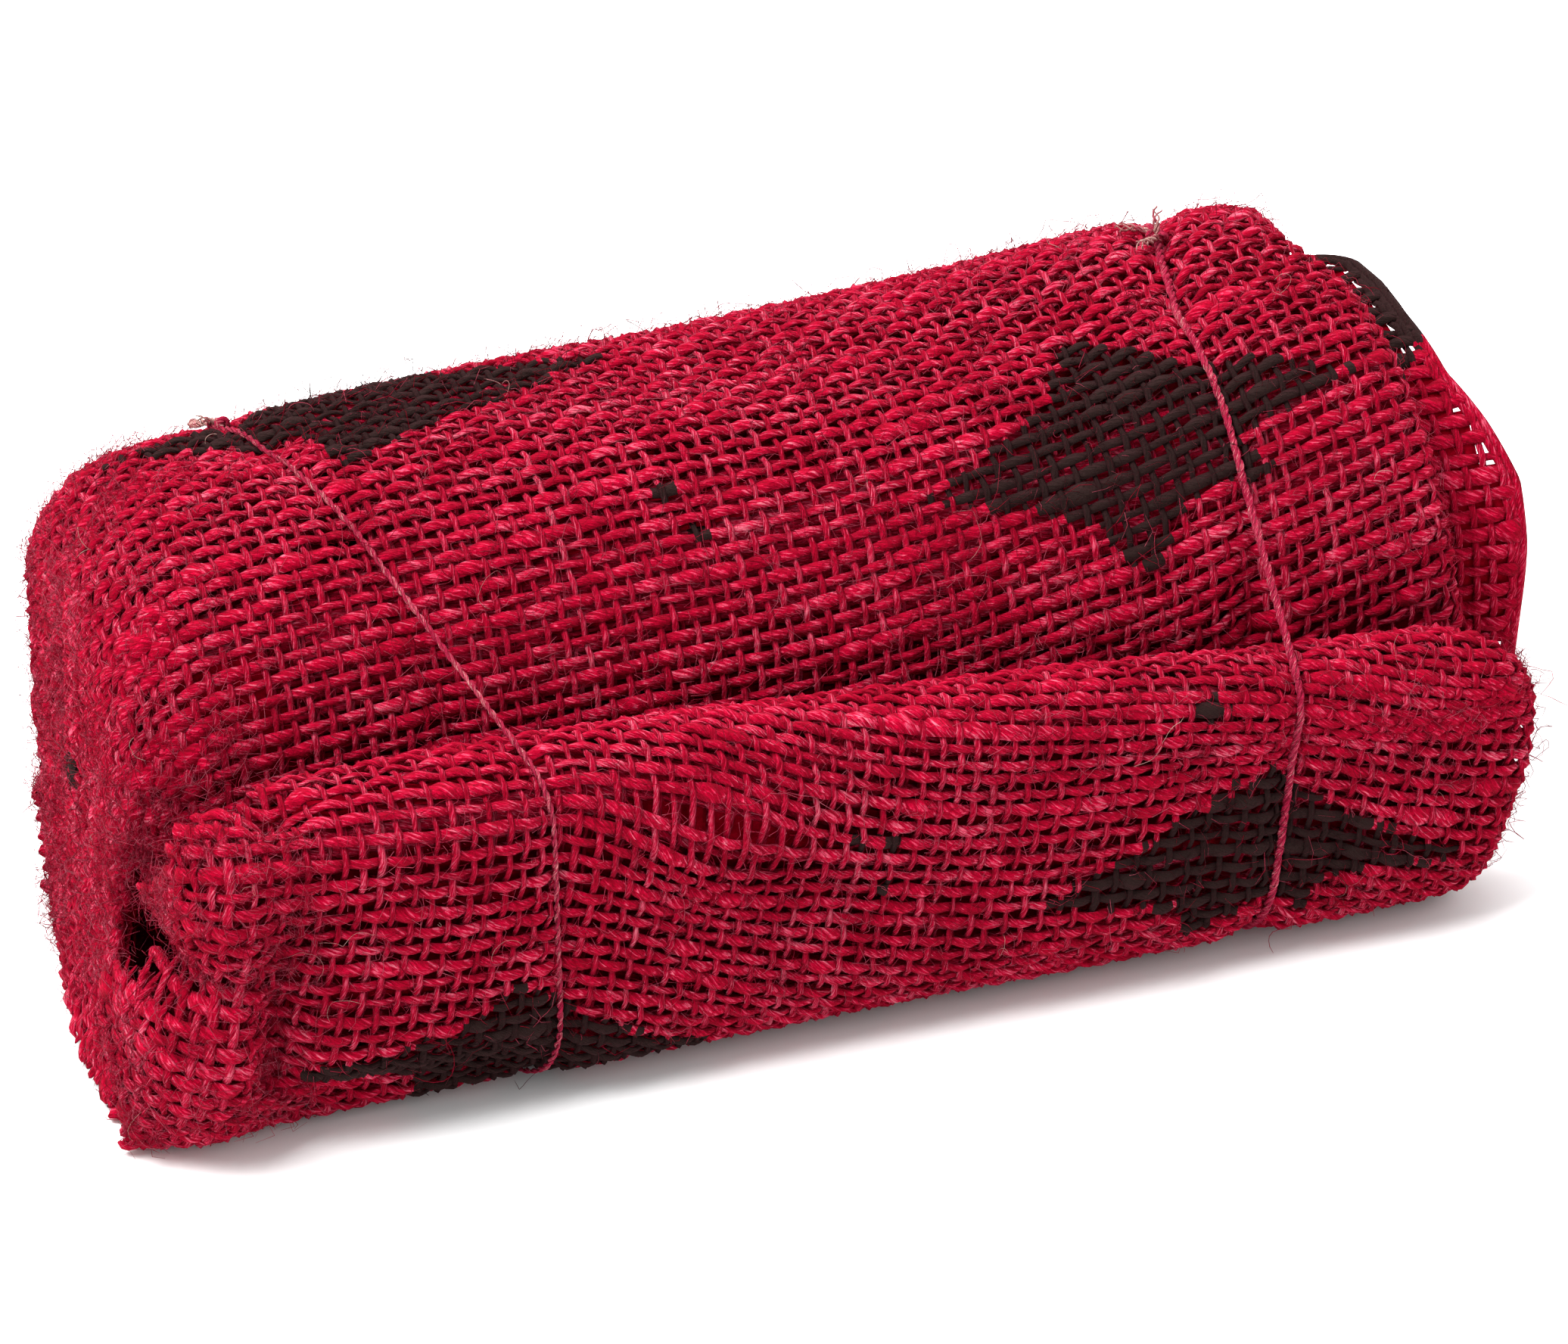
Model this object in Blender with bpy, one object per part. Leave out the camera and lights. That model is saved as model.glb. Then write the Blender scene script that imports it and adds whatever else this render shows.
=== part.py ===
"""A burlap bag folded into a strip, rolled up into a bundle and tied with two jute threads.

The strip is a bag folded lengthwise, about six plies of burlap. It is rolled up round
its core, and its last length is folded up in front of the roll and tucked in behind
that front fold. The bundle lies along X on the floor at Z = 0, its front towards -Y.
The tables are in millimetres, and MM turns them into Blender's metres.
"""

from collections import namedtuple

import bpy
import numpy as np
from mathutils.geometry import convex_hull_2d

MM = 0.001

LAYER = 7.0  # the strip's thickness
AIR = 0.9  # between two layers of it
PITCH = LAYER + AIR

# Cross-sections from left to right: where the bundle's front, the roll's face behind
# the front fold, its back and its top stand, and the crease on top of the front fold.
Section = namedtuple("Section", "x front face back top crease")
SECTIONS = (
    Section(-95, -40.5, -19.5, 39.0, 67.0, 50.0),
    Section(-65, -41.5, -20.5, 40.0, 69.8, 51.0),
    Section(-32, -41.0, -22.5, 40.0, 70.6, 50.0),
    Section(0, -41.5, -24.5, 40.0, 70.2, 48.0),
    Section(32, -42.5, -26.0, 40.0, 71.2, 45.5),
    Section(65, -43.5, -27.5, 40.0, 72.2, 42.5),
    Section(95, -43.0, -27.0, 39.0, 70.0, 41.0),
)

# The strip's folds in order, from the end tucked in behind the front fold to the core.
# side and level are the faces of the section that a fold lies against, or its Y and Z,
# and depth is the number of layers outside it. run and bend are the steps up to the
# fold and round it. left and right are the X of the strip's two edges, turn is how far
# the edge is turned over there, from 0 to 1, and reach how much of the way to the slit
# the left edge goes in, and into the height of the slit that it goes to. flap is 1 where
# the right edge is a single ply that sticks out.
FOLD_COLUMNS = "side level depth radius run bend left turn reach into right right_turn flap"
Fold = namedtuple("Fold", FOLD_COLUMNS)
FOLDS = (
    Fold("tuck", 15, 0, 0, 0, 0, -76, 0, 0, 20, 74, 0, 0),
    Fold("tuck", "crease", 0, 0, 4, 3, -78, 0, 0, 30, 76, 0, 0),
    Fold("front", "crease", 0, 0, 0, 3, -88, 0.3, 0, 30, 84, 0, 0),
    Fold("front", 31, 0, 0, 1, 0, -94, 1, 0.8, 28, 85, 0.5, 0),
    Fold("front", 22, 0, 0, 1, 0, -91, 1, 0.75, 20, 84.5, 0.6, 0),
    Fold("front", "floor", 0, 10.5, 2, 4, -101.5, 0.15, 0.3, 12, 79, 0.4, 0),
    Fold(0, "floor", 0, 0, 3, 0, -98, 0, 0, 6, 78, 0, 0),
    Fold("back", "floor", 0, 13, 3, 4, -87, 0.2, 0.3, 6, 77, 0, 0),
    Fold("back", 36, 0, 0, 2, 0, -89, 1, 0.9, 8, 77, 0, 0),
    Fold("back", "top", 0, 16.5, 2, 4, -89, 1, 0.9, 14, 76, 0, 0),
    Fold(18, "top", 0, 0, 1, 0, -90, 1, 0.9, 20, 76, 0, 0),
    Fold("face", "top", 0, 31, 1, 8, -90, 1, 0.9, 28, 80, 0, 0),
    Fold("face", 30, 0, 0, 1, 0, -80, 0, 0, 28, 85, 0, 0),
    Fold("face", "floor", 1, 8, 3, 3, -78, 0, 0, 15, 83, 0, 0),
    Fold("back", "floor", 1, 8, 4, 3, -74, 0, 0, 15, 76, 0, 0),
    Fold("back", 40, 1, 0, 2, 0, -74, 0, 0, 15, 77, 0, 0),
    Fold("back", "top", 1, 9, 2, 3, -74, 0, 0, 20, 84, 0, 1),
    Fold("face", "top", 1, 23, 1, 6, -74, 0, 0, 20, 94, 0, 1),
    Fold("face", "floor", 2, 6, 3, 3, -74, 0, 0, 20, 91, 0, 1),
    Fold("back", "floor", 2, 5, 3, 3, -74, 0, 0, 20, 75, 0, 0),
    Fold("back", "top", 2, 5, 2, 3, -74, 0, 0, 20, 76, 0, 0),
    Fold("face", "top", 2, 15, 1, 4, -74, 0, 0, 20, 78, 0, 0),
    Fold("face", "floor", 3, 4.5, 2, 2, -74, 0, 0, 20, 76, 0, 0),
    Fold("back", "floor", 3, 4.5, 1, 2, -74, 0, 0, 20, 74, 0, 0),
    Fold("back", 44, 3, 0, 2, 0, -74, 0, 0, 20, 73, 0, 0),
)
BEND_PLACE = 0.4  # places along the table run from 0.4 before a bend's row to 0.4 after it
SHOWN_FROM = 1.2  # the outer cloth, as places along the table
SHOWN_TO = 11.7
SHOWN_RAMP = 0.2
FLAP_THICK = 2.4

# The ends: the radius that each turns over with, how far the right edge goes in, and
# the slit in the left end that the cloth round it is folded in to.
LEFT_ROUND = 15.0
RIGHT_ROUND = 9.0
RIGHT_REACH = 2.0
SLIT_Y = -12.0
MOST_WAY_IN = 0.7  # of the way to the slit, for the turn itself

# Steps over each end: shares of the turn, of the way in after it, and of the straight
# run where the cloth isn't turned, and how much of the thickness its rounded edge keeps.
EndStep = namedtuple("EndStep", "turn reach run thick")
LEFT_STEPS = (
    EndStep(1.0, 1.0, 1.0, 0.45),
    EndStep(1.0, 0.9, 0.87, 0.9),
    EndStep(1.0, 0.45, 0.55, 1.0),
    EndStep(0.67, 0.0, 0.35, 1.0),
    EndStep(0.33, 0.0, 0.17, 1.0),
    EndStep(0.0, 0.0, 0.0, 1.0),
)
RIGHT_STEPS = (
    EndStep(0.0, 0.0, 0.0, 1.0),
    EndStep(0.5, 0.0, 0.4, 1.0),
    EndStep(1.0, 0.0, 0.8, 0.9),
    EndStep(1.0, 1.0, 1.0, 0.45),
)
FLAP_STEP = 0.4  # the share of the run past which the flap is a single ply

# Ties. A taut loop lies nearly in a plane: its X is at + along_y * Y + along_z * Z, and
# drift more for each millimetre behind DRIFT_FROM, towards its knot. groove is how deep
# it presses into the cloth, and knot_y is where its knot lies on the top.
Tie = namedtuple("Tie", "at along_y along_z drift radius groove knot_y")
TIES = {
    "tie_left": Tie(-56.9, -0.294, -0.03, 0.12, 0.6, 1.8, 30.0),
    "tie_right": Tie(46.6, -0.037, 0.127, 0.37, 0.8, 2.2, 22.0),
}
DRIFT_FROM = 7.0
TIE_CLEAR = 0.5
TIE_SIDES = 6
GROOVE_HALF = 4.5
GROOVE_MARGIN = 2.0  # from a groove's side to the nearest end
MIDDLE_STATIONS = (-24.0, 2.0, 27.0)

# Knots, and the ties' free ends: steps from the knot along X, towards the front over
# the cloth, and off it.
KNOT_RADIUS = 1.5
KNOT_LIFT = 0.9
END_RADIUS = 0.4
TIE_ENDS = {
    "tie_left": (
        ((-3.0, -0.5, 0.6), (-7.0, 0.4, 0.7), (-12.5, -0.6, 0.9)),
        ((1.2, 1.5, 0.8), (2.0, 3.2, 1.2)),
    ),
    "tie_right": (
        ((-1.6, 1.6, 0.8), (-2.6, 4.6, 1.0)),
        ((2.2, 1.2, 0.8), (4.2, 4.2, 1.2)),
        ((0.6, 0.2, 1.8), (-1.0, -0.6, 3.4)),
    ),
}

# Soft swellings of the outer cloth, and dents where the height is negative.
Swell = namedtuple("Swell", "x y z width height")
SWELLS = (
    Swell(-30, -38, 42, 13, 1.2),
    Swell(-75, -41, 30, 9, -1.5),
    Swell(20, -42, 22, 22, 0.8),
    Swell(-20, 0, 71, 25, 0.8),
    Swell(30, 10, 72, 16, -0.9),
    Swell(70, -10, 66, 14, 0.9),
)

Look = namedtuple("Look", "colour roughness")
LOOKS = {
    "burlap": Look((0.42, 0.008, 0.035, 1.0), 0.9),
    "tie_thread": Look((0.55, 0.05, 0.08, 1.0), 0.7),
}


def unit(v):
    return v / np.linalg.norm(v, axis=-1, keepdims=True)


def column(x, name):
    """A column of the section table at each x, on a smooth curve through its rows."""
    knots = np.array([row.x for row in SECTIONS], float)
    values = np.array([getattr(row, name) for row in SECTIONS], float)
    slopes = np.gradient(values, knots)
    x = np.clip(x, knots[0], knots[-1])
    i = np.clip(np.searchsorted(knots, x, side="right") - 1, 0, len(knots) - 2)
    span = knots[i + 1] - knots[i]
    t = (x - knots[i]) / span
    rise = t * t * (3 - 2 * t)
    leave = t * (1 - t) ** 2 * span
    arrive = t * t * (t - 1) * span
    return values[i] + (values[i + 1] - values[i]) * rise + slopes[i] * leave + slopes[i + 1] * arrive


def fold_corner(fold, x):
    """Where the strip's middle line would turn at each x, if the fold were sharp."""
    inset = LAYER / 2 + fold.depth * PITCH
    if fold.side == "front":
        y = column(x, "front") + inset
    elif fold.side == "tuck":
        y = column(x, "face") - AIR - LAYER / 2
    elif fold.side == "face":
        layers_outside = fold.depth - (fold.level == "floor")
        y = column(x, "face") + LAYER / 2 + layers_outside * PITCH
    elif fold.side == "back":
        y = column(x, "back") - inset
    else:
        y = np.full_like(x, fold.side)
    if fold.level == "floor":
        z = np.full_like(x, inset)
    elif fold.level in ("top", "crease"):
        z = column(x, fold.level) - inset
    else:
        z = np.full_like(x, fold.level)
    return np.stack([y, z], axis=-1)


def fold_radius(fold, x):
    """A fold's radius at each x. The front fold turns over in a half circle at its crease."""
    if fold.level == "crease":
        return (column(x, "face") - column(x, "front") - AIR - LAYER) / 2
    return np.full_like(x, fold.radius)


def middle_line(x):
    """The strip's middle line at each x: its points, the directions out of the bundle there,
    and each point's place along the table of folds. Seen from -X, all folds turn one way."""
    corners = [fold_corner(fold, x) for fold in FOLDS]
    points, ways, places = [corners[0]], [unit(corners[1] - corners[0])], [0.0]
    leaving, left_at = corners[0], 0.0
    for i, fold in enumerate(FOLDS[1:], start=1):
        ahead = unit(corners[i] - corners[i - 1])
        then = unit(corners[i + 1] - corners[i]) if i + 1 < len(FOLDS) else ahead
        cross = ahead[:, 0] * then[:, 1] - ahead[:, 1] * then[:, 0]
        angle = np.arctan2(cross, (ahead * then).sum(axis=1))[:, None]
        bends = fold.bend > 0
        radius = fold_radius(fold, x)[:, None] * bends
        half = BEND_PLACE * bends
        entry = corners[i] - ahead * radius * np.tan(angle / 2)
        for step in range(1, fold.run + (not bends)):
            share = step / fold.run
            points.append(leaving + (entry - leaving) * share)
            ways.append(ahead)
            places.append(left_at + (i - half - left_at) * share)
        side = np.stack([-ahead[:, 1], ahead[:, 0]], axis=-1)
        for step in range(fold.run == 0, (fold.bend + 1) * bends):
            turned = angle * step / fold.bend
            points.append(entry + radius * (np.sin(turned) * ahead + (1 - np.cos(turned)) * side))
            ways.append(np.cos(turned) * ahead + np.sin(turned) * side)
            places.append(i - half + 2 * half * step / fold.bend)
        leaving, left_at = points[-1], places[-1]
    ways = np.stack(ways, axis=1)
    outwards = np.stack([ways[..., 1], -ways[..., 0]], axis=-1)
    return np.stack(points, axis=1), outwards, np.array(places)


def section_at(x):
    """The strip's middle line with an X of its own for each of its points."""
    points, outwards, _ = middle_line(x)
    each = np.arange(len(x))
    return points[each, each], outwards[each, each]


def fold_column(places, name):
    """A column of the table of folds, at places along it."""
    return np.interp(places, range(len(FOLDS)), [float(getattr(fold, name)) for fold in FOLDS])


def stations(places, y, z):
    """The X of each station along the bundle, for every point of the strip. The first and
    last are where its ends begin, and each tie has three: its groove and the two sides."""
    grooves = []
    for tie in TIES.values():
        x = tie.at + tie.along_y * y + tie.along_z * z + tie.drift * np.maximum(y - DRIFT_FROM, 0)
        grooves += [x - GROOVE_HALF, x, x + GROOVE_HALF]
    first = np.minimum(fold_column(places, "left") + LEFT_ROUND, grooves[0] - GROOVE_MARGIN)
    last = np.maximum(fold_column(places, "right") - RIGHT_ROUND, grooves[-1] + GROOVE_MARGIN)
    middle = [np.full_like(y, x) for x in MIDDLE_STATIONS]
    return [first, *grooves[:3], *middle, *grooves[3:], last]


def swelling(x, base, out):
    """How far the outer cloth stands out at each point. What lies on the floor stays flat."""
    height = np.zeros(len(x))
    for swell in SWELLS:
        away = np.column_stack([x, base]) - np.array((swell.x, swell.y, swell.z))
        height += swell.height * np.exp(-(away**2).sum(axis=1) / swell.width**2)
    return height * np.clip(1 + 2 * out[:, 1], 0, 1)


def plain_faces(x, base, out, lift):
    """The cloth's outer and inner points at a station along the bundle."""
    outer = base + out * (LAYER / 2 + lift)[:, None]
    inner = base - out * LAYER / 2
    return np.column_stack([x, outer]), np.column_stack([x, inner])


def left_way_in(places, base):
    """The directions from the section's points to the slit, and how far it is."""
    slit = np.column_stack([np.full(len(base), SLIT_Y), fold_column(places, "into")])
    far = np.linalg.norm(slit - base, axis=1)
    return (slit - base) / far[:, None], far


def end_faces(step, side, places, x, base, out):
    """The cloth's outer and inner points at one step over an end; side is -1 at the left.
    An edge turns over on to the end's face and goes in, or runs straight on, or between."""
    if side < 0:
        turn, edge = fold_column(places, "turn"), fold_column(places, "left")
        way, far = left_way_in(places, base)
        bend_radius = np.minimum(LEFT_ROUND - LAYER / 2, MOST_WAY_IN * far)
        further = np.maximum(fold_column(places, "reach") * far - bend_radius, 0.0)
        flap = np.zeros(len(places))
    else:
        turn, edge = fold_column(places, "right_turn"), fold_column(places, "right")
        way, bend_radius, further = -out, RIGHT_ROUND - LAYER / 2, RIGHT_REACH
        flap = fold_column(places, "flap") * min(step.run / FLAP_STEP, 1.0)
    angle = np.pi / 2 * step.turn
    turned_x = x + side * bend_radius * np.sin(angle)
    straight_x = x + (edge - x) * step.run
    middle_x = straight_x + (turned_x - straight_x) * turn
    inwards = turn * (bend_radius * (1 - np.cos(angle)) + further * step.reach)
    middle = base + way * inwards[:, None]
    tilt = angle * turn
    thick = LAYER + (FLAP_THICK - LAYER) * flap
    trim = thick * (1 - step.thick) / 2
    faces = []
    for off in (LAYER / 2 - trim, LAYER / 2 - thick + trim):
        across = middle + out * (off * np.cos(tilt))[:, None]
        faces.append(np.column_stack([middle_x + side * off * np.sin(tilt), across]))
    return faces


def cloth_faces():
    """The strip's outer and inner points, each as [station, point along the strip, XYZ], the
    station of each tie's groove, and the directions out of the bundle at each of those."""
    nominal, _, places = middle_line(np.zeros(1))
    xs = stations(places, *nominal[0].T)
    shown = np.clip(np.minimum(places - SHOWN_FROM, SHOWN_TO - places) / SHOWN_RAMP, 0, 1)
    grooves = dict(zip((2, len(xs) - 3), TIES.items()))
    base, out = section_at(xs[0])
    faces = [end_faces(step, -1, places, xs[0], base, out) for step in LEFT_STEPS]
    tie_rows = {}
    for number, x in enumerate(xs[1:-1], start=1):
        base, out = section_at(x)
        lift = swelling(x, base, out)
        if number in grooves:
            name, tie = grooves[number]
            lift -= tie.groove
            tie_rows[name] = (len(faces), out)
        faces.append(plain_faces(x, base, out, lift * shown))
    base, out = section_at(xs[-1])
    faces += [end_faces(step, 1, places, xs[-1], base, out) for step in RIGHT_STEPS]
    outer, inner = (np.array([pair[side] for pair in faces]) for side in (0, 1))
    return outer, inner, tie_rows, shown > 0.99


def new_object(name, points, faces, look):
    """A mesh object from points in millimetres."""
    mesh = bpy.data.meshes.new(name)
    mesh.from_pydata([tuple(point) for point in np.asarray(points) * MM], [], faces)
    mesh.shade_smooth()
    mesh.materials.append(look)
    obj = bpy.data.objects.new(name, mesh)
    bpy.context.scene.collection.objects.link(obj)
    return obj


def grid_faces(rows, columns, first):
    """The faces of a grid of points, numbered row by row from first."""
    corners = [first + r * columns + c for r in range(rows - 1) for c in range(columns - 1)]
    return [(a, a + 1, a + columns + 1, a + columns) for a in corners]


def cloth_object(outer, inner, look):
    """The folded strip as one closed solid: its outer and inner grids, joined all round."""
    rows, columns = outer.shape[:2]
    count = rows * columns
    ring = [
        *range(columns - 1),
        *range(columns - 1, count - 1, columns),
        *range(count - 1, count - columns, -1),
        *range(count - columns, 0, -columns),
    ]
    faces = grid_faces(rows, columns, 0)
    faces += [face[::-1] for face in grid_faces(rows, columns, count)]
    for here, there in zip(ring, ring[1:] + ring[:1]):
        faces.append((there, here, here + count, there + count))
    return new_object("bag_cloth", np.concatenate([outer, inner]).reshape(-1, 3), faces, look)


def tube(name, line, radius, side, look, closed=False):
    """A tube along a line of points, closed into a loop or with flat ends. side is a
    direction across the line at its first point."""
    line = np.array(line)
    steps = np.roll(line, -1, 0) - np.roll(line, 1, 0) if closed else np.gradient(line, axis=0)
    turns = np.arange(TIE_SIDES) * 2 * np.pi / TIE_SIDES
    points = []
    for point, ahead in zip(line, unit(steps)):
        side = unit(side - ahead * (side @ ahead))
        up = np.cross(side, ahead)
        points += [point + radius * (np.cos(a) * up + np.sin(a) * side) for a in turns]
    faces = []
    for i in range(len(line) if closed else len(line) - 1):
        here, there = i * TIE_SIDES, (i + 1) % len(line) * TIE_SIDES
        for k in range(TIE_SIDES):
            n = (k + 1) % TIE_SIDES
            faces.append((here + k, here + n, there + n, there + k))
    if not closed:
        faces.append(tuple(range(TIE_SIDES))[::-1])
        faces.append(tuple(range(len(points) - TIE_SIDES, len(points))))
    return new_object(name, points, faces, look)


def tie_line(tie, groove, out, shown):
    """A taut loop in its groove, just clear of the cloth's points there, and the directions
    out of the bundle. It goes straight over the crease, as the convex outline does."""
    off_cloth = out[shown] * (tie.radius + TIE_CLEAR)
    line = groove[shown] + np.column_stack([np.zeros(len(off_cloth)), off_cloth])
    outline = convex_hull_2d([tuple(point) for point in line[:, 1:]])
    kept = slice(min(outline), max(outline) + 1)
    return line[kept], out[shown][kept]


def fuse(whole, piece):
    """Fuses a piece on to a solid, and keeps the piece as a hidden helper."""
    union = whole.modifiers.new(piece.name, "BOOLEAN")
    union.operation = "UNION"
    union.object = piece
    piece.hide_render = True
    piece.display_type = "WIRE"


def tie_object(name, tie, groove, out, shown, look):
    """A tie: its loop, its knot on top of the bundle and its free ends, fused into one."""
    line, outs = tie_line(tie, groove, out, shown)
    across = np.array((1.0, -tie.along_y, -tie.along_z))
    loop = tube(name, line, tie.radius, across, look, closed=True)
    on_top = np.where(outs[:, 1] > 0, abs(line[:, 1] - tie.knot_y), np.inf)
    at = np.argmin(on_top)
    along, off = np.array((1.0, 0.0, 0.0)), np.array((0.0, *outs[at]))
    forward = np.cross(along, off)
    forward *= -np.sign(forward[1])
    knot_at = line[at] + off * KNOT_LIFT
    bpy.ops.mesh.primitive_ico_sphere_add(subdivisions=2, radius=KNOT_RADIUS * MM)
    knot = bpy.context.object
    knot.name = name + "_knot"
    knot.location = knot_at * MM
    fuse(loop, knot)
    for number, steps in enumerate(TIE_ENDS[name]):
        route = [knot_at, *(knot_at + np.array(step) @ np.array((along, forward, off)) for step in steps)]
        fuse(loop, tube(f"{name}_end_{number}", route, END_RADIUS, forward, look))
    return loop


def material(name):
    """A plain material of the table."""
    look = bpy.data.materials.new(name)
    look.use_nodes = True
    shader = look.node_tree.nodes["Principled BSDF"]
    shader.inputs["Base Color"].default_value = LOOKS[name].colour
    shader.inputs["Roughness"].default_value = LOOKS[name].roughness
    return look


def main():
    for obj in list(bpy.data.objects):
        bpy.data.objects.remove(obj)
    outer, inner, tie_rows, shown = cloth_faces()
    corners = np.concatenate([outer, inner]).reshape(-1, 3)
    centre = (corners.min(axis=0) + corners.max(axis=0)) / 2 * (1, 1, 0)
    outer -= centre
    inner -= centre
    cloth_object(outer, inner, material("burlap"))
    thread = material("tie_thread")
    for name, (row, out) in tie_rows.items():
        tie_object(name, TIES[name], outer[row], out, shown, thread)


main()
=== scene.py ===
from collections import namedtuple

import bpy
import numpy as np
from mathutils import Matrix, Vector
from mathutils.geometry import convex_hull_2d


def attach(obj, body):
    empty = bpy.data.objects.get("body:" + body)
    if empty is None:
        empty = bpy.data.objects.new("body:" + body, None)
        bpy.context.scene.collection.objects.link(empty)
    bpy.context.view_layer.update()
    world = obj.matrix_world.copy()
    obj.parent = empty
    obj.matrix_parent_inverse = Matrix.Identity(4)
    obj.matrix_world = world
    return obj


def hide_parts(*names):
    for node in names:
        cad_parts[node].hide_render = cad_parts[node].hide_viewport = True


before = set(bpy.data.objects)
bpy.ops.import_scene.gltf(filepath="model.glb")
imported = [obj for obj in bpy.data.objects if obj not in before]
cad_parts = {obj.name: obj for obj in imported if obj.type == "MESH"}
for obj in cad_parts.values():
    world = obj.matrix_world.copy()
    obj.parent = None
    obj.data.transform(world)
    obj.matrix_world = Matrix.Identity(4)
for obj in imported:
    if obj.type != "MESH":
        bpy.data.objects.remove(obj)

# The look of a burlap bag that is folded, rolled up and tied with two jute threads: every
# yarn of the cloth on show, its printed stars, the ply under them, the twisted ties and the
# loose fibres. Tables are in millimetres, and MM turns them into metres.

MM = 0.001
MIDDLE = np.array((3.67134, 1.69384, 0.0))  # takes the tables' places to the frame's
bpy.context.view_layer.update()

# ---------------------------------------------------------------- the folded strip
# The same cross-sections and folds as the solid has.
LAYER = 7.0
AIR = 0.9  # between layers
PITCH = LAYER + AIR

# At each x: the Y of the front, of the roll's face and of the back, and the Z of the roll's
# top and of the front fold's crease.
Section = namedtuple("Section", "x front face back top crease")
SECTIONS = [Section(*row) for row in (
    (-95, -40.5, -19.5, 39.0, 67.0, 50.0), (-65, -41.5, -20.5, 40.0, 69.8, 51.0),
    (-32, -41.0, -22.5, 40.0, 70.6, 50.0), (0, -41.5, -24.5, 40.0, 70.2, 48.0),
    (32, -42.5, -26.0, 40.0, 71.2, 45.5), (65, -43.5, -27.5, 40.0, 72.2, 42.5),
    (95, -43.0, -27.0, 39.0, 70.0, 41.0),
)]

# Each fold: the side and level where it lies, or its Y and Z, how many layers deep, its
# radius, the solid's steps up to it and round it, and the X of the strip's right edge.
Fold = namedtuple("Fold", "side level depth radius run bend right")
FOLDS = [Fold(*row) for row in (
    ("tuck", 15, 0, 0, 0, 0, 74), ("tuck", "crease", 0, 0, 4, 3, 76),
    ("front", "crease", 0, 0, 0, 3, 84), ("front", 31, 0, 0, 1, 0, 86.5), ("front", 22, 0, 0, 1, 0, 86),
    ("front", "floor", 0, 10.5, 2, 4, 81), (0, "floor", 0, 0, 3, 0, 78),
    ("back", "floor", 0, 13, 3, 4, 77), ("back", 36, 0, 0, 2, 0, 77),
    ("back", "top", 0, 16.5, 2, 4, 76), (18, "top", 0, 0, 1, 0, 76), ("face", "top", 0, 31, 1, 8, 80),
    ("face", 30, 0, 0, 1, 0, 85), ("face", "floor", 1, 8, 3, 3, 83), ("back", "floor", 1, 8, 4, 3, 77),
    ("back", 40, 1, 0, 2, 0, 77), ("back", "top", 1, 9, 2, 3, 77), ("face", "top", 1, 23, 1, 6, 78),
    ("face", "floor", 2, 6, 3, 3, 77), ("back", "floor", 2, 5, 3, 3, 75),
    ("back", "top", 2, 5, 2, 3, 76), ("face", "top", 2, 15, 1, 4, 78),
    ("face", "floor", 3, 4.5, 2, 2, 76), ("back", "floor", 3, 4.5, 1, 2, 74),
    ("back", 44, 3, 0, 2, 0, 73),
)]
BEND_PLACE = 0.4  # places along the table run from 0.4 before a bend's row to 0.4 after it
FINE = 5  # steps here for each of the solid's steps
STRIP_XS = np.linspace(-95.0, 95.0, 77)  # where the strip is looked up
SHOWN_FROM = 1.2  # the outer cloth, as places along the table
SHOWN_TO = 11.7
SHOWN_RAMP = 0.2
OUTER_PLACES = (0.9, 12.0)  # from and to, for the cloth outside and the laps inside
LAP_PLACES = (12.0, 24.0)
LAP_LENGTHS = ((-92.0, -58.0), (62.0, 116.0))  # the inner roll shows at its ends alone
SWELL_FADE = 2.0  # how fast swellings fade where the cloth turns down to the floor
CREASE_FADE = 1.6  # the same for ridges

Swell = namedtuple("Swell", "x y z width height")
SWELLS = [Swell(*row) for row in (
    (-30, -38, 42, 13, 1.2), (-75, -41, 30, 9, -1.5), (20, -42, 22, 22, 0.8), (-20, 0, 71, 25, 0.8),
    (30, 10, 72, 16, -0.9), (70, -10, 66, 14, 0.9),
)]

# Each tie: its X and how that changes with Y, with Z and behind DRIFT_FROM, its radius, its
# groove's depth, its knot's Y, its strands and the length of their twist.
Tie = namedtuple("Tie", "at along_y along_z drift radius groove knot_y strands lay")
TIES = {
    "tie_left": Tie(-56.9, -0.294, -0.03, 0.12, 0.6, 1.8, 30.0, 2, 3.2),
    "tie_right": Tie(46.6, -0.037, 0.127, 0.37, 0.8, 2.2, 22.0, 3, 4.6),
}
DRIFT_FROM = 7.0
TIE_CLEAR = -0.35  # the ties' strands are slimmer than the solids, and lie closer
GROOVE_HALF = 4.5
GROOVE_SHARP = 1.6
KNOT_LIFT = 0.54
# Each free end's points from the knot: towards the front, to the left and off the bundle.
TIE_ENDS = {
    "tie_left": (
        ((-3.0, -0.5, 0.6), (-7.0, 0.4, 0.7), (-12.5, -0.6, 0.9)),
        ((1.2, 1.5, 0.8), (2.0, 3.2, 1.2)),
    ),
    "tie_right": (
        ((-1.6, 1.6, 0.8), (-2.6, 4.6, 1.0)),
        ((2.2, 1.2, 0.8), (4.2, 4.2, 1.2)),
        ((0.6, 0.2, 1.8), (-1.0, -0.6, 3.4)),
    ),
}

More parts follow.
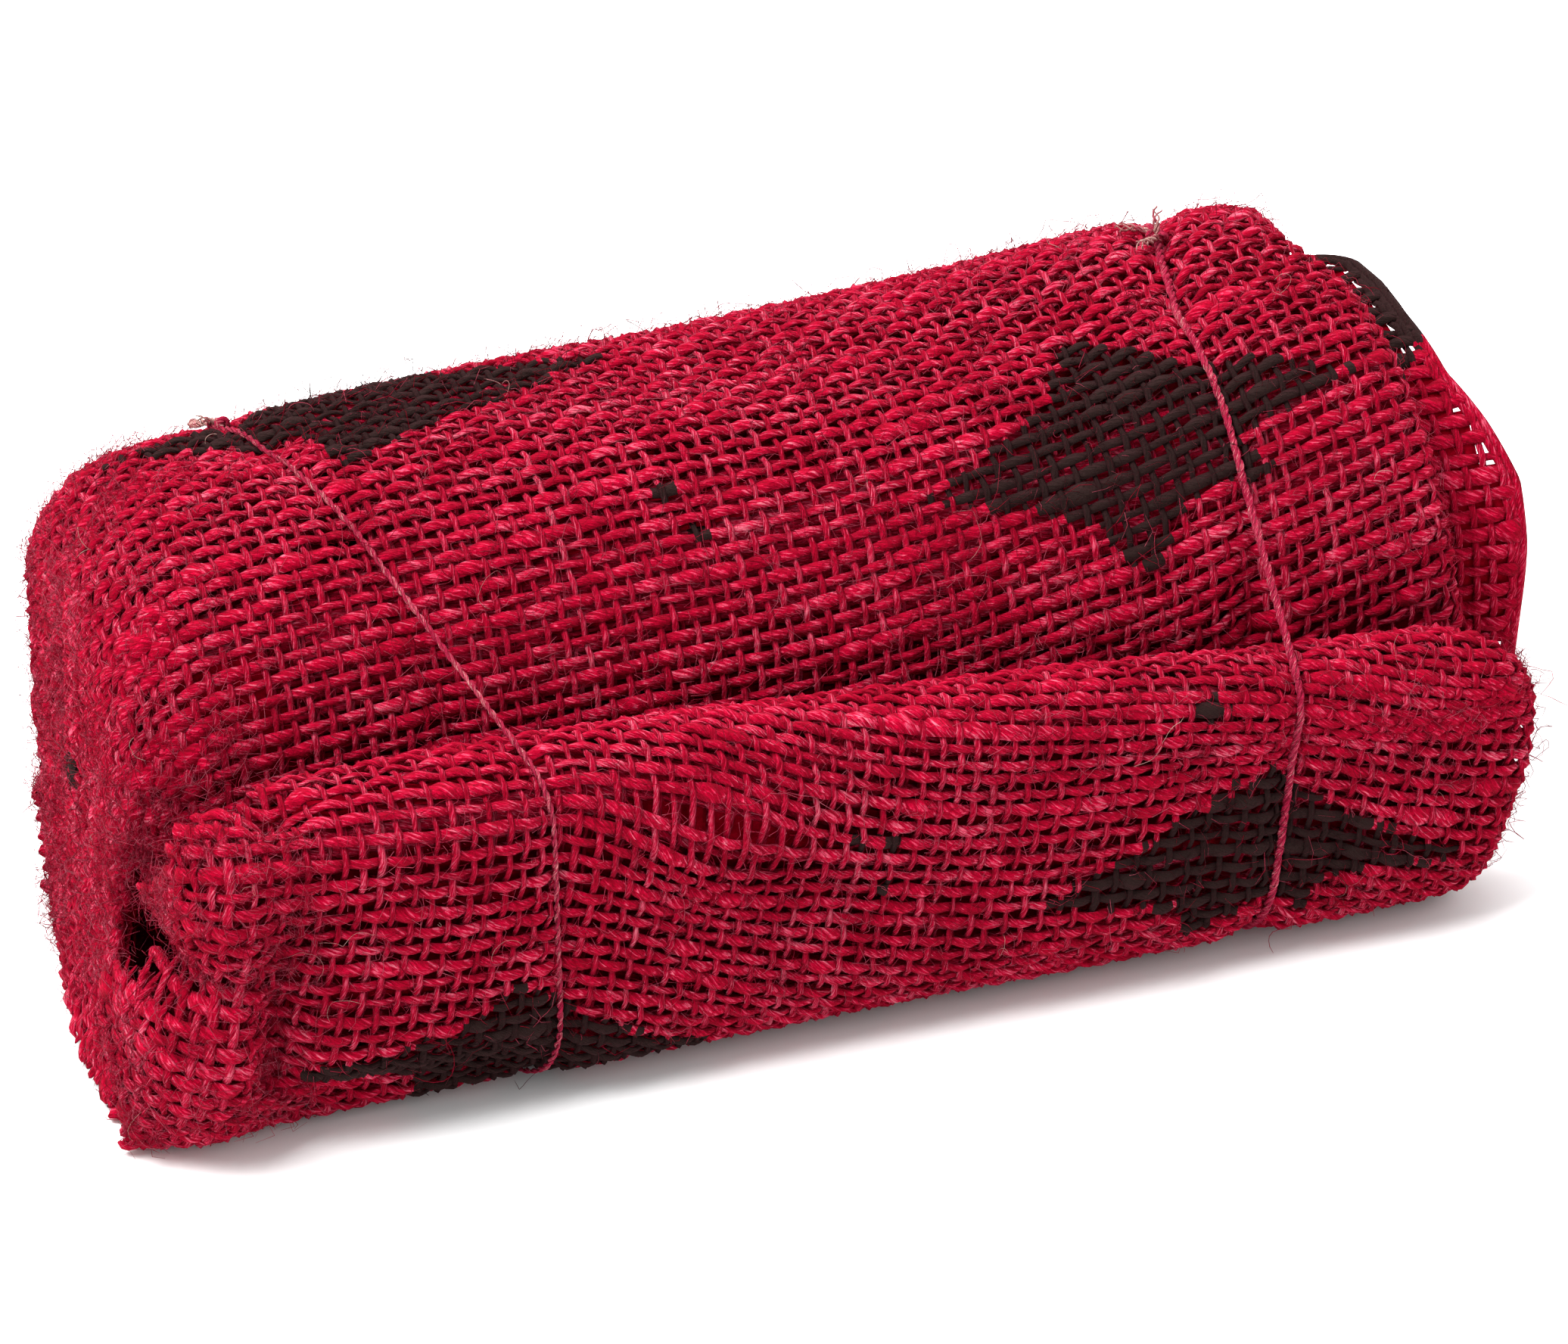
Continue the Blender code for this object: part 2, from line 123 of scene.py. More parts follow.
# ---------------------------------------------------------------- the outer cloth's ends
# edge is the X that the cloth reaches at the left, turn how far it turns over there, bend
# the turn's radius, lean the way that it then hangs in (degrees from straight down towards
# the back), reach how far it goes on, and floor the share of the way down to the floor.
LeftEnd = namedtuple("LeftEnd", "place edge turn bend lean reach floor")
LEFT_ENDS = [LeftEnd(*row) for row in (
    (1.0, -80, 0, 6, 0, 0, 0), (1.6, -88, 0.4, 8, 70, 2, 0), (1.9, -92.5, 0.9, 9, 60, 3, 0),
    (2.2, -93.5, 1, 10, 62, 7, 0), (2.6, -94, 1, 10, 80, 11, 0), (3.0, -93.5, 1, 10, 90, 10, 0),
    (3.3, -91, 1, 9, 90, 7, 0), (3.45, -89.5, 1, 9, 90, 5, 0), (3.65, -95, 1, 10, 90, 9, 0),
    (3.9, -99, 1, 10, 90, 11, 0), (4.6, -99, 0.95, 11, 90, 10, 0), (5.0, -97.5, 0.7, 12, 90, 5, 0),
    (5.3, -98.5, 0.25, 12, 90, 1, 0), (5.6, -98, 0, 12, 90, 0, 0), (6.0, -94, 0, 12, 0, 0, 0),
    (6.5, -90, 0, 12, -90, 0, 0), (7.2, -87, 0.2, 12, -90, 0, 0), (7.6, -86, 1, 10, -90, 12, 0),
    (8.3, -86, 1, 10, -90, 14, 0), (8.6, -87, 1, 11, -60, 12, 0), (8.9, -89, 1, 13, -8, 0, 1),
    (9.4, -90, 1, 14, 0, 0, 1), (10.4, -90, 1, 14, 0, 0, 1), (11.0, -93.5, 1, 14, 0, 0, 1),
    (11.15, -92, 1, 14, 12, 4, 0), (11.4, -88, 1, 12, 45, 3, 0), (12.0, -80, 0, 8, 90, 0, 0),
)]
LAP_LEFT = -74.0  # the left edge of the roll inside
# The hanging cloth flares out to its free edge on the floor: X of that edge at each Y.
FLARE_FROM = 22.0
SWAY_FROM = 14.0  # and towards its front edge it hangs further to the front
SWAY_PLACES = (10.4, 11.0)
SWAY = 13.0
FLARE_Y = (-28.0, -7.4, 8.6, 24.0, 40.0)
FLARE_X = (-99.9, -98.6, -94.5, -89.6, -84.0)

# The right edge is folded over: the radius, how far round in degrees and the run after.
RIGHT_PLACES = (0.0, 1.4, 2.2, 4.8, 5.4, 24.0)
RIGHT_ROUNDS = (3.3, 3.3, 6.0, 6.0, 3.3, 3.3)
RIGHT_TURNS = (160.0, 160.0, 110.0, 110.0, 160.0, 160.0)
RIGHT_RUNS = (0.0, 0.0, 5.0, 5.0, 0.0, 0.0)

# The single ply that sticks out of the roll at the right: the X of its edge at each place.
FLAP_PLACES = (16.2, 16.32, 16.42, 16.52, 16.67, 16.87, 17.01, 17.15, 17.3, 17.56, 17.89, 18.1, 18.4)
FLAP_EDGES = (80.0, 83.5, 85.7, 86.4, 86.2, 87.4, 90.5, 93.0, 92.9, 91.4, 89.5, 86.0, 79.0)
FLAP_BORDER = (0.3, 1.3)  # yarns along its edge, this far inside it
FLAP_BORDER_SIZE = (0.62, 0.5)  # half their width and height
FLAP_BORDER_STEP = 0.8
FLAP_BORDER_TINT = 0.5
FLAP_BORDER_WAVE = (6.0, 0.1)
# Painted shade: the flap's yarns are darkened, for the shadow of the upper roll that it lies in.
FLAP_PAINTED_SHADE = 0.8  # how much of a yarn's tint the flap's yarns keep
FLAP_FROM = 62.0
FLAP_FLARE = 2.6  # how far it stands off the roll at its edge
FLAP_FLARE_X = (76.0, 90.0)

# Listed folds of the outer cloth, as lines from A to B: ridges stand out, valleys
# (below nought) go in.
Crease = namedtuple("Crease", "a b width height")
CREASES = [Crease(*row) for row in (
    ((-33, -41, 36), (-18, -42, 37), 5.0, 1.3), ((-18, -42, 37), (0, -42, 27), 5.5, 1.2),
    ((-81.5, -33, 49), (-83, -40, 13), 3.4, -6.0), ((-89, -40, 40), (-89, -41, 14), 3.4, 1.5),
    ((-80, -42, 4), (-56, -42, 4), 8.0, -4.6), ((-75, -41, 3), (-69, -41, 3), 5.0, -2.4),
    ((-90, -34, 40), (-90, -36, 28), 4.0, 1.2), ((-92, -34, 16), (-94, -34, 7), 5.0, 1.2),
    ((-90, -40, 23), (-84, -42, 23), 2.6, -1.6), ((-10, -42, 44), (4, -43, 20), 4.0, -0.9),
    ((56, -42, 38), (58, -43, 12), 4.0, -1.3), ((40, -42, 36), (41, -43, 10), 4.0, -0.7),
    ((-80, -25, 58), (-58, -6, 70), 4.5, 0.9), ((-74, -34, 47), (-66, -22, 55), 3.0, -1.0),
    ((52, -20, 58), (70, 0, 72), 5.0, 0.8), ((24, -22, 56), (40, 4, 70), 5.0, -0.7),
    ((-40, 2, 71), (0, 14, 71), 6.0, -0.6),
)]

# ---------------------------------------------------------------- the weave
YARN_DEPTH = 1.0  # the yarns' middle surface lies this far inside the solid's face
YARN_PITCH = 2.4
GRID_STEP = 1.2
MOST_LEFT = -168.0
MOST_RIGHT = 116.0
LEFT_BULK = 0.35  # how much fuller the yarns are where the cloth is turned over at the left
LEFT_BULK_X = (-86.0, -77.0)
LEAST_HEIGHT = 0.62  # of a yarn's middle above the floor
MORE_WEFTS = 24  # beyond each side of the cloth, where drifting yarns come in
EVENINGS = 3  # how often the grid is evened out
SETTLING = 8  # rounds until a yarn's place has settled
EDGE_MARGIN = 0.5  # between the yarns' ends and the grid's edge

# Yarns of one kind: half their width and height, how far they wave over and under the
# others, the rings for each crossing, each tube's sides and how far all are shifted.
Kind = namedtuple("Kind", "width height wave steps sides shift")
OUTER_WEFTS = Kind(0.71, 0.46, 0.34, 3, 5, 0.0)
OUTER_WARPS = Kind(0.43, 0.34, 0.52, 2, 4, 0.0)
UNDER_WEFTS = Kind(0.80, 0.45, 0.25, 1, 3, 1.1)
UNDER_WARPS = Kind(0.42, 0.36, 0.40, 1, 3, 0.9)
LAP_WEFTS = Kind(0.88, 0.50, 0.30, 2, 4, 0.0)
LAP_WARPS = Kind(0.42, 0.36, 0.42, 1, 4, 0.0)
FLAP_WEFTS = Kind(0.92, 0.50, 0.32, 3, 5, 0.0)
FLAP_WARPS = Kind(0.50, 0.42, 0.50, 2, 5, 0.0)

# How uneven the yarns are. Each pair has how far apart the random values are, in crossings
# for wefts and in millimetres for warps, and how much they change the yarn.
WEFT_WANDER = ((7.3, 0.16), (2.3, 0.07))
WEFT_THICKNESS = ((4.7, 0.17), (1.4, 0.12))
WEFT_TINT_WAVE = (3.0, 0.05)
WARP_WANDER = ((27.0, 0.2), (7.5, 0.1))
WARP_THICKNESS = (4.0, 0.14)
SLUB_EVERY, SLUB_FROM, MOST_SLUB, SLUB_SIZE = 4.2, 1.0, 1.3, 0.85
THICKNESS_RANGE = (0.6, 1.9)
HEIGHT_RANGE = (0.7, 1.4)
OVER_SIZE = 0.07  # how much wider a weft is on top of a warp
RAVEL = 0.7  # how unevenly the wefts end at the left
# A tint of 0 to 1 picks a yarn's colour: the middle, spread and range of the yarns' tints.
WEFT_TINT, WEFT_TINT_SPREAD, WEFT_TINT_RANGE = 0.46, 0.05, (0.05, 0.8)
WARP_TINT, WARP_TINT_SPREAD, WARP_TINT_RANGE = 0.50, 0.07, (0.05, 0.75)
WEFT_TAPER, WARP_TAPER = 1.3, 1.5  # rings over which a cut end is drawn in
TIP, TIP_SIZE = 0.35, 0.15
LEAST_RINGS = 4

# How far a weft yarn's place across the cloth changes with its X, at lengths x along the
# bundle and s across the cloth.
Drift = namedtuple("Drift", "x s slope")
DRIFTS = [Drift(*row) for row in (
    (62, 262, -0.26), (22, 264, -0.14), (-20, 264, -0.07), (-62, 264, -0.04), (0, 180, 0.0),
    (70, 180, 0.0), (-70, 180, 0.0), (-86, 56, 0.1), (-68, 56, 0.12), (-54, 50, 0.08), (-28, 44, 0.46),
    (-18, 54, 0.36), (0, 52, 0.3), (14, 54, 0.14), (28, 50, 0.08), (44, 56, 0.12), (64, 54, 0.4),
    (82, 56, 0.25),
)]
DRIFT_REACH_X = 11.0
DRIFT_REACH_S = 34.0
DRIFT_STEP = 2.0
DRIFT_TO = 100.0  # as far as this on either side of the middle
LEAST_WEIGHT = 1e-3
# Where the wefts have parted and bare warps show: the middle as lengths along and across,
# half its lengths along and across, how far each side has moved and how sharply.
Parting = namedtuple("Parting", "x s along across away sharp")
PARTING = Parting(-24, 54, 11.0, 12.0, 2.8, 1.2)
WARP_LEAN_PLACES = (0.0, 2.2, 5.0, 8.0, 24.0)  # warps lean to the left down the front
WARP_LEANS = (0.0, 0.0, -5.0, 0.0, 0.0)

# Printed five-pointed stars: a middle as lengths x along the bundle and s across the
# cloth, each tip's angle (degrees from along the bundle, turning towards the front and
# then down) and length, and the notches' share of it.
Star = namedtuple("Star", "x s angles lengths notch")
STARS = (
    Star(43, 274, (24, 100, 177, 259, 351), (17, 17, 29, 20, 30), 0.54),
    Star(46, 72, (12, 55, 121, 177, 283), (30, 13, 15, 29, 13), 0.5),
    Star(-47, 238, (1, 116, 185, 245, 305), (31, 18, 35, 21, 21), 0.46),
    Star(-52, 83, (12, 70, 130, 190, 270), (30, 19, 19, 30, 14), 0.52),
    Star(22, 190, (20, 88, 160, 232, 305), (22, 20, 22, 21, 19), 0.42),
    Star(-48, 172, (16, 88, 160, 232, 304), (20, 21, 22, 20, 19), 0.42),
    Star(20, 122, (28, 100, 170, 245, 315), (21, 20, 22, 20, 20), 0.42),
    Star(-50, 128, (5, 80, 150, 222, 295), (20, 21, 20, 20, 21), 0.42),
)
FLAP_STAR = Star(83, 449, (20, 95, 170, 262, 322), (15, 15, 16, 19, 15), 0.6)
# Small marks of the print: lengths along and across, and the size.
SPECKS = (
    (-19, 268, 1.1), (-15.5, 274, 1.2), (-7, 58.5, 1.3), (-2.5, 59.5, 1.4), (-3.5, 65.5, 1.2),
    (41, 46.5, 2.0), (-121, 254, 2.2), (-121, 250, 1.6),
)
STAR_FRAY = 0.3
PRINT_DARK, PRINT_SPREAD, PRINT_RANGE = 0.93, 0.12, (0.3, 1.0)


def unit(v):
    return v / np.maximum(np.linalg.norm(v, axis=-1, keepdims=True), 1e-12)


def lengths_along(line):
    """The length from a line's start to each of its points."""
    return np.concatenate([[0.0], np.cumsum(np.linalg.norm(np.diff(line, axis=0), axis=1))])


def rows_at(values, first, step, count):
    """Where values fall among a grid's rows, kept inside it."""
    return np.clip((values - first) / step, 0, count - 1.001)


def column(x, name):
    """A column of the section table at each x, on a smooth curve through its rows."""
    knots = np.array([row.x for row in SECTIONS], float)
    values = np.array([getattr(row, name) for row in SECTIONS], float)
    slopes = np.gradient(values, knots)
    x = np.clip(x, knots[0], knots[-1])
    i = np.clip(np.searchsorted(knots, x, side="right") - 1, 0, len(knots) - 2)
    span = knots[i + 1] - knots[i]
    t = (x - knots[i]) / span
    rise = t * t * (3 - 2 * t)
    leave = t * (1 - t) ** 2 * span
    arrive = t * t * (t - 1) * span
    return values[i] + (values[i + 1] - values[i]) * rise + slopes[i] * leave + slopes[i + 1] * arrive


def fold_corner(fold, x):
    """Where the strip's middle line would turn at each x, if the fold were sharp."""
    inset = LAYER / 2 + fold.depth * PITCH
    if fold.side == "front":
        y = column(x, "front") + inset
    elif fold.side == "tuck":
        y = column(x, "face") - AIR - LAYER / 2
    elif fold.side == "face":
        layers_outside = fold.depth - (fold.level == "floor")
        y = column(x, "face") + LAYER / 2 + layers_outside * PITCH
    elif fold.side == "back":
        y = column(x, "back") - inset
    else:
        y = np.full_like(x, fold.side)
    if fold.level == "floor":
        z = np.full_like(x, inset)
    elif fold.level in ("top", "crease"):
        z = column(x, fold.level) - inset
    else:
        z = np.full_like(x, fold.level)
    return np.stack([y, z], axis=-1)


def fold_radius(fold, x):
    """A fold's radius at each x. The front fold turns over in a half circle at its crease."""
    if fold.level == "crease":
        return (column(x, "face") - column(x, "front") - AIR - LAYER) / 2
    return np.full_like(x, fold.radius)


def middle_line(x):
    """The strip's middle line at each x: its points, the directions out of the bundle there,
    and each point's place along the table of folds."""
    corners = [fold_corner(fold, x) for fold in FOLDS]
    points, ways, places = [corners[0]], [unit(corners[1] - corners[0])], [0.0]
    leaving, left_at = corners[0], 0.0
    for i, fold in enumerate(FOLDS[1:], start=1):
        run, bend = fold.run * FINE, fold.bend * FINE
        ahead = unit(corners[i] - corners[i - 1])
        then = unit(corners[i + 1] - corners[i]) if i + 1 < len(FOLDS) else ahead
        cross = ahead[:, 0] * then[:, 1] - ahead[:, 1] * then[:, 0]
        angle = np.arctan2(cross, (ahead * then).sum(axis=1))[:, None]
        bends = bend > 0
        radius = fold_radius(fold, x)[:, None] * bends
        half = BEND_PLACE * bends
        entry = corners[i] - ahead * radius * np.tan(angle / 2)
        for step in range(1, run + (not bends)):
            share = step / run
            points.append(leaving + (entry - leaving) * share)
            ways.append(ahead)
            places.append(left_at + (i - half - left_at) * share)
        side = np.stack([-ahead[:, 1], ahead[:, 0]], axis=-1)
        for step in range(run == 0, (bend + 1) * bends):
            turned = angle * step / bend
            points.append(entry + radius * (np.sin(turned) * ahead + (1 - np.cos(turned)) * side))
            ways.append(np.cos(turned) * ahead + np.sin(turned) * side)
            places.append(i - half + 2 * half * step / bend)
        leaving, left_at = points[-1], places[-1]
    ways = np.stack(ways, axis=1)
    outwards = np.stack([ways[..., 1], -ways[..., 0]], axis=-1)
    return np.stack(points, axis=1), outwards, np.array(places)


class Strip:
    """The folded strip's middle line and outward directions, looked up by x and place."""

    def __init__(self):
        self.base, self.out, self.places = middle_line(STRIP_XS)
        middle = len(STRIP_XS) // 2
        self.lengths = lengths_along(self.base[middle] + self.out[middle] * LAYER / 2)

    def at(self, x, place):
        """The middle line's (y, z) and the outward directions at each x and place."""
        x, place = np.broadcast_arrays(np.asarray(x, float), np.asarray(place, float))
        a = rows_at(x, STRIP_XS[0], STRIP_XS[1] - STRIP_XS[0], len(STRIP_XS))
        count = len(self.places)
        b = rows_at(np.interp(place, self.places, np.arange(count)), 0, 1, count)
        return blend_grid(self.base, a, b), unit(blend_grid(self.out, a, b))

    def place_at(self, length):
        return np.interp(length, self.lengths, self.places)

    def length_at(self, place):
        return np.interp(place, self.places, self.lengths)


def blend_grid(grid, a, b):
    """A grid's values between its rows a and columns b."""
    i, j = a.astype(int), b.astype(int)
    u, v = (a - i)[..., None], (b - j)[..., None]
    low = grid[i, j] * (1 - v) + grid[i, j + 1] * v
    high = grid[i + 1, j] * (1 - v) + grid[i + 1, j + 1] * v
    return low * (1 - u) + high * u


def right_edge(places):
    return np.interp(places, range(len(FOLDS)), [float(fold.right) for fold in FOLDS])


def left_column(places, name):
    rows = [row.place for row in LEFT_ENDS]
    return np.interp(places, rows, [float(getattr(row, name)) for row in LEFT_ENDS])


def tie_x(tie, y, z):
    return tie.at + tie.along_y * y + tie.along_z * z + tie.drift * np.maximum(y - DRIFT_FROM, 0)


def swelling(points, up):
    """How far the outer cloth stands out at each point. What lies on the floor stays flat."""
    height = np.zeros(points.shape[:-1])
    for swell in SWELLS:
        away = points - np.array((swell.x, swell.y, swell.z))
        height += swell.height * np.exp(-(away**2).sum(axis=-1) / swell.width**2)
    return height * np.clip(1 + SWELL_FADE * up, 0, 1)


def creasing(points):
    """The listed folds' height at each point."""
    height = np.zeros(points.shape[:-1])
    for crease in CREASES:
        a, b = np.array(crease.a, float), np.array(crease.b, float)
        share = np.clip(((points - a) @ (b - a)) / ((b - a) @ (b - a)), 0, 1)
        away = points - (a + share[..., None] * (b - a))
        height += crease.height * np.exp(-(away**2).sum(axis=-1) / crease.width**2)
    return height


def grooves(points):
    """How deep the ties press the cloth in at each point."""
    depth = np.zeros(points.shape[:-1])
    for tie in TIES.values():
        away = np.abs(points[..., 0] - tie_x(tie, points[..., 1], points[..., 2]))
        near = np.clip(1 - away / GROOVE_HALF, 0, 1)
        depth += tie.groove * near**GROOVE_SHARP
    return depth


Patch = namedtuple("Patch", "l0 s0 points normals low high")


def rolled(over, radius, most):
    """How far forward and inwards cloth goes that is rolled over an edge."""
    turned = np.minimum(over / radius, most)
    after = np.maximum(over - radius * most, 0)
    forward = radius * np.sin(turned) + after * np.cos(most)
    return forward, radius * (1 - np.cos(turned)) + after * np.sin(most)


def hanging(face, x, past, place, edge):
    """The cloth that hangs over the left end sways to the front and flares on the floor."""
    hangs = left_column(place, "floor") * (past > 0)
    sway = SWAY * np.interp(place, SWAY_PLACES, (0.0, 1.0)) * hangs
    face[..., 0] -= sway * np.clip((SWAY_FROM - face[..., 1]) / SWAY_FROM, 0, 1)
    low_z = np.clip((FLARE_FROM - face[..., 1]) / FLARE_FROM, 0, 1)
    return x - (edge - np.interp(face[..., 0], FLARE_Y, FLARE_X)) * low_z**2 * hangs


def surface(strip, l, s, kind):
    """The cloth's points for lengths l along the bundle and s across it, and its free
    edges: the lowest and highest l of each s. kind is outer, lap or flap."""
    place = strip.place_at(s)
    round_ = np.interp(place, RIGHT_PLACES, RIGHT_ROUNDS)
    most = np.radians(np.interp(place, RIGHT_PLACES, RIGHT_TURNS))
    right_start = right_edge(place) - round_
    edge, turn, bend = (left_column(place, name) for name in ("edge", "turn", "bend"))
    start = edge + bend
    if kind != "outer":
        start = LAP_LEFT + round_
        turn = np.zeros_like(place)
    if kind == "flap":
        right_start = np.full_like(place, MOST_RIGHT)
    within = np.clip(l[:, None], start, right_start)
    base, out = strip.at(within, place)
    face = base + out * (LAYER / 2 - YARN_DEPTH)
    top = face[0, :, 1]
    past = np.maximum(start - l[:, None], 0)
    forward, inwards = rolled(np.maximum(l[:, None] - right_start, 0), round_, most)
    face = face - out * inwards[..., None]
    x = within + forward
    high = right_start + round_ * most + np.interp(place, RIGHT_PLACES, RIGHT_RUNS)
    if kind == "outer":
        forward, inwards = rolled(past, bend, np.pi / 2)
        lean = np.radians(left_column(place, "lean"))
        way = np.stack([np.sin(lean), -np.cos(lean)], axis=-1)
        face = face + way * (turn * inwards)[..., None]
        x = x - past * (1 - turn) - turn * forward
        x = hanging(face, x, past, place, edge)
        floor = left_column(place, "floor")
        reach = left_column(place, "reach") + floor * np.maximum(top - bend - YARN_DEPTH, 0)
        low = start - bend * (1 + turn * (np.pi / 2 - 1)) - turn * reach
    else:
        forward, inwards = rolled(past, round_, most)
        face = face - out * inwards[..., None]
        x = x - forward
        low = start - round_ * most
    if kind == "flap":
        face = face + out * (FLAP_FLARE * np.interp(x, FLAP_FLARE_X, (0.0, 1.0)))[..., None]
        high = np.interp(place, FLAP_PLACES, FLAP_EDGES)
    face[..., 1] = np.maximum(face[..., 1], YARN_DEPTH)
    low, high = np.maximum(low, l[0] + EDGE_MARGIN), np.minimum(high, l[-1] - EDGE_MARGIN)
    return np.concatenate([x[..., None], face], axis=-1), place, low, high


def smoothed(points, times):
    """The grid of points, evened out a little along both of its ways."""
    for _ in range(times):
        inner = points[1:-1, 1:-1]
        around = points[:-2, 1:-1] + points[2:, 1:-1] + points[1:-1, :-2] + points[1:-1, 2:]
        points[1:-1, 1:-1] = (inner * 2 + around) / 6
    return points


def cloth_patch(strip, from_place, to_place, from_l, to_l, kind):
    """A piece of cloth as a grid of points, their outward normals and its free edges."""
    l = np.arange(from_l, to_l, GRID_STEP)
    s = np.arange(strip.length_at(from_place), strip.length_at(to_place), GRID_STEP)
    points, place, low, high = surface(strip, l, s, kind)
    points = smoothed(points, EVENINGS)
    normals = unit(np.cross(np.gradient(points, axis=1), np.gradient(points, axis=0)))
    if kind == "outer":
        shown = np.clip(np.minimum(place - SHOWN_FROM, SHOWN_TO - place) / SHOWN_RAMP, 0, 1)
        height = swelling(points, normals[..., 2]) + creasing(points) - grooves(points)
        on_floor = np.where(height > 0, np.clip(1 + CREASE_FADE * normals[..., 2], 0, 1), 1.0)
        points = points + normals * (height * shown * on_floor)[..., None]
        points = smoothed(points, 1)
        points[..., 2] = np.maximum(points[..., 2], YARN_DEPTH)
        normals = unit(np.cross(np.gradient(points, axis=1), np.gradient(points, axis=0)))
    return Patch(l[0], s[0], points, normals, np.stack([s, low]), np.stack([s, high]))


def sample(patch, l, s):
    """Points and normals of a patch at lengths l along it and s across it."""
    rows, columns = patch.points.shape[:2]
    a = rows_at(l, patch.l0, GRID_STEP, rows)
    b = rows_at(s, patch.s0, GRID_STEP, columns)
    return blend_grid(patch.points, a, b), unit(blend_grid(patch.normals, a, b))


class Weave:
    """How far the yarns stray from straight lines: wefts drift across the cloth and part
    at the pucker, and warps lean along it."""

    def __init__(self, strip):
        self.l = np.arange(MOST_LEFT, MOST_RIGHT, DRIFT_STEP)
        self.s = np.arange(0.0, strip.lengths[-1] + 2 * DRIFT_STEP, DRIFT_STEP)
        place = strip.place_at(self.s)
        weights = np.full((len(self.l), len(self.s)), LEAST_WEIGHT)
        slopes = np.zeros_like(weights)
        for drift in DRIFTS:
            far_x = (self.l[:, None] - drift.x) / DRIFT_REACH_X
            far_s = (self.s[None, :] - drift.s) / DRIFT_REACH_S
            weight = np.exp(-(far_x**2) - far_s**2)
            weights += weight
            slopes += weight * drift.slope
        slopes = slopes / weights * (np.abs(self.l[:, None]) < DRIFT_TO)
        moved = np.cumsum(slopes, axis=0) * DRIFT_STEP
        middle = np.argmin(np.abs(self.l))
        self.moved = (moved - moved[middle])[..., None]
        self.lean = np.interp(place, WARP_LEAN_PLACES, WARP_LEANS)

    def drift(self, l, s):
        a = rows_at(l, self.l[0], DRIFT_STEP, len(self.l))
        b = rows_at(s, self.s[0], DRIFT_STEP, len(self.s))
        return blend_grid(self.moved, a, b)[..., 0]

    def parting(self, l, line):
        """How far the weft that would run along a line across the cloth is moved aside."""
        middle = PARTING.s - self.drift(np.array(float(PARTING.x)), np.array(float(PARTING.s)))
        off = line - middle
        near = np.exp(-(((l - PARTING.x) / PARTING.along) ** 2) - (off / PARTING.across) ** 2)
        return PARTING.away * np.tanh(off / PARTING.sharp) * near

    def leaning(self, s):
        return np.interp(s, self.s, self.lean)


def wavy(rng, rows, count, knot):
    """Smooth random values, one row for each yarn, with a new value every knot places."""
    knots = rng.normal(size=(rows, int(count / knot) + 3))
    at = np.arange(count) / knot
    i = at.astype(int)
    t = at - i
    t = t * t * (3 - 2 * t)
    return knots[:, i] * (1 - t) + knots[:, i + 1] * t


def star_outline(star):
    """A star's ten corners as lengths along and across the cloth."""
    corners = []
    middle = np.array((star.x, star.s), float)
    angles = np.radians(star.angles)
    for k, angle in enumerate(angles):
        after = (k + 1) % len(angles)
        between = (angle + angles[after] + 2 * np.pi * (angles[after] < angle)) / 2
        short = star.notch * (star.lengths[k] + star.lengths[after]) / 2
        for way, length in ((angle, star.lengths[k]), (between, short)):
            corners.append(middle + length * np.array((np.cos(way), np.sin(way))))
    return np.array(corners)


def inside(outline, l, s):
    """Whether each point lies in an outline, by counting the sides that it is left of."""
    odd = np.zeros(l.shape, bool)
    for (x0, y0), (x1, y1) in zip(outline, np.roll(outline, -1, axis=0)):
        spans = (y0 > s) != (y1 > s)
        with np.errstate(divide="ignore", invalid="ignore"):
            crosses = x0 + (s - y0) * (x1 - x0) / (y1 - y0)
        odd ^= spans & (l < crosses)
    return odd


def printed(stars, l, s, rng):
    """How dark the print is at each point, with frayed edges."""
    fray_l = l + rng.normal(size=l.shape) * STAR_FRAY
    fray_s = s + rng.normal(size=s.shape) * STAR_FRAY
    dark = np.zeros(l.shape)
    for star in stars:
        dark = np.maximum(dark, inside(star_outline(star), fray_l, fray_s))
    for x, across, size in SPECKS:
        dark = np.maximum(dark, (fray_l - x) ** 2 + (fray_s - across) ** 2 < size**2)
    return dark * np.clip(PRINT_DARK + PRINT_SPREAD * rng.normal(size=l.shape), *PRINT_RANGE)


# ---------------------------------------------------------------- yarns as meshes
Yarn = namedtuple("Yarn", "line up width height dark tint")
PRINT_TO = -0.5  # the print reaches this far round a yarn, as the sine of the way up
MOST_TRIANGLES = 190000


def runs(mask):
    """The first and last+1 of each run of True in a mask."""
    steps = np.diff(np.concatenate([[0], mask.astype(int), [0]]))
    return zip(np.flatnonzero(steps == 1), np.flatnonzero(steps == -1))


def taper(count, ends):
    """A yarn's size along it, drawn in at both cut ends."""
    at = np.minimum(np.arange(count), np.arange(count)[::-1])
    return np.clip((at + TIP) / ends, TIP_SIZE, 1)


def bulk_at(l):
    return 1 + LEFT_BULK * np.interp(l, LEFT_BULK_X, (1.0, 0.0))


def laid(patch, l, s, rise):
    """Points and normals of yarns that rise and fall in the cloth."""
    points, normals = sample(patch, l, s)
    points = points + normals * rise[..., None]
    points[..., 2] = np.maximum(points[..., 2], LEAST_HEIGHT)
    return points, normals


def lengths_shown(ends, shown, *parts):
    """The lengths of a yarn that show. The parts are a Yarn's own."""
    yarns = []
    for a, b in runs(shown):
        if b - a >= LEAST_RINGS:
            yarn = Yarn(*(part[a:b] for part in parts))
            size = taper(b - a, ends)
            yarns.append(yarn._replace(width=yarn.width * size, height=yarn.height * size))
    return yarns


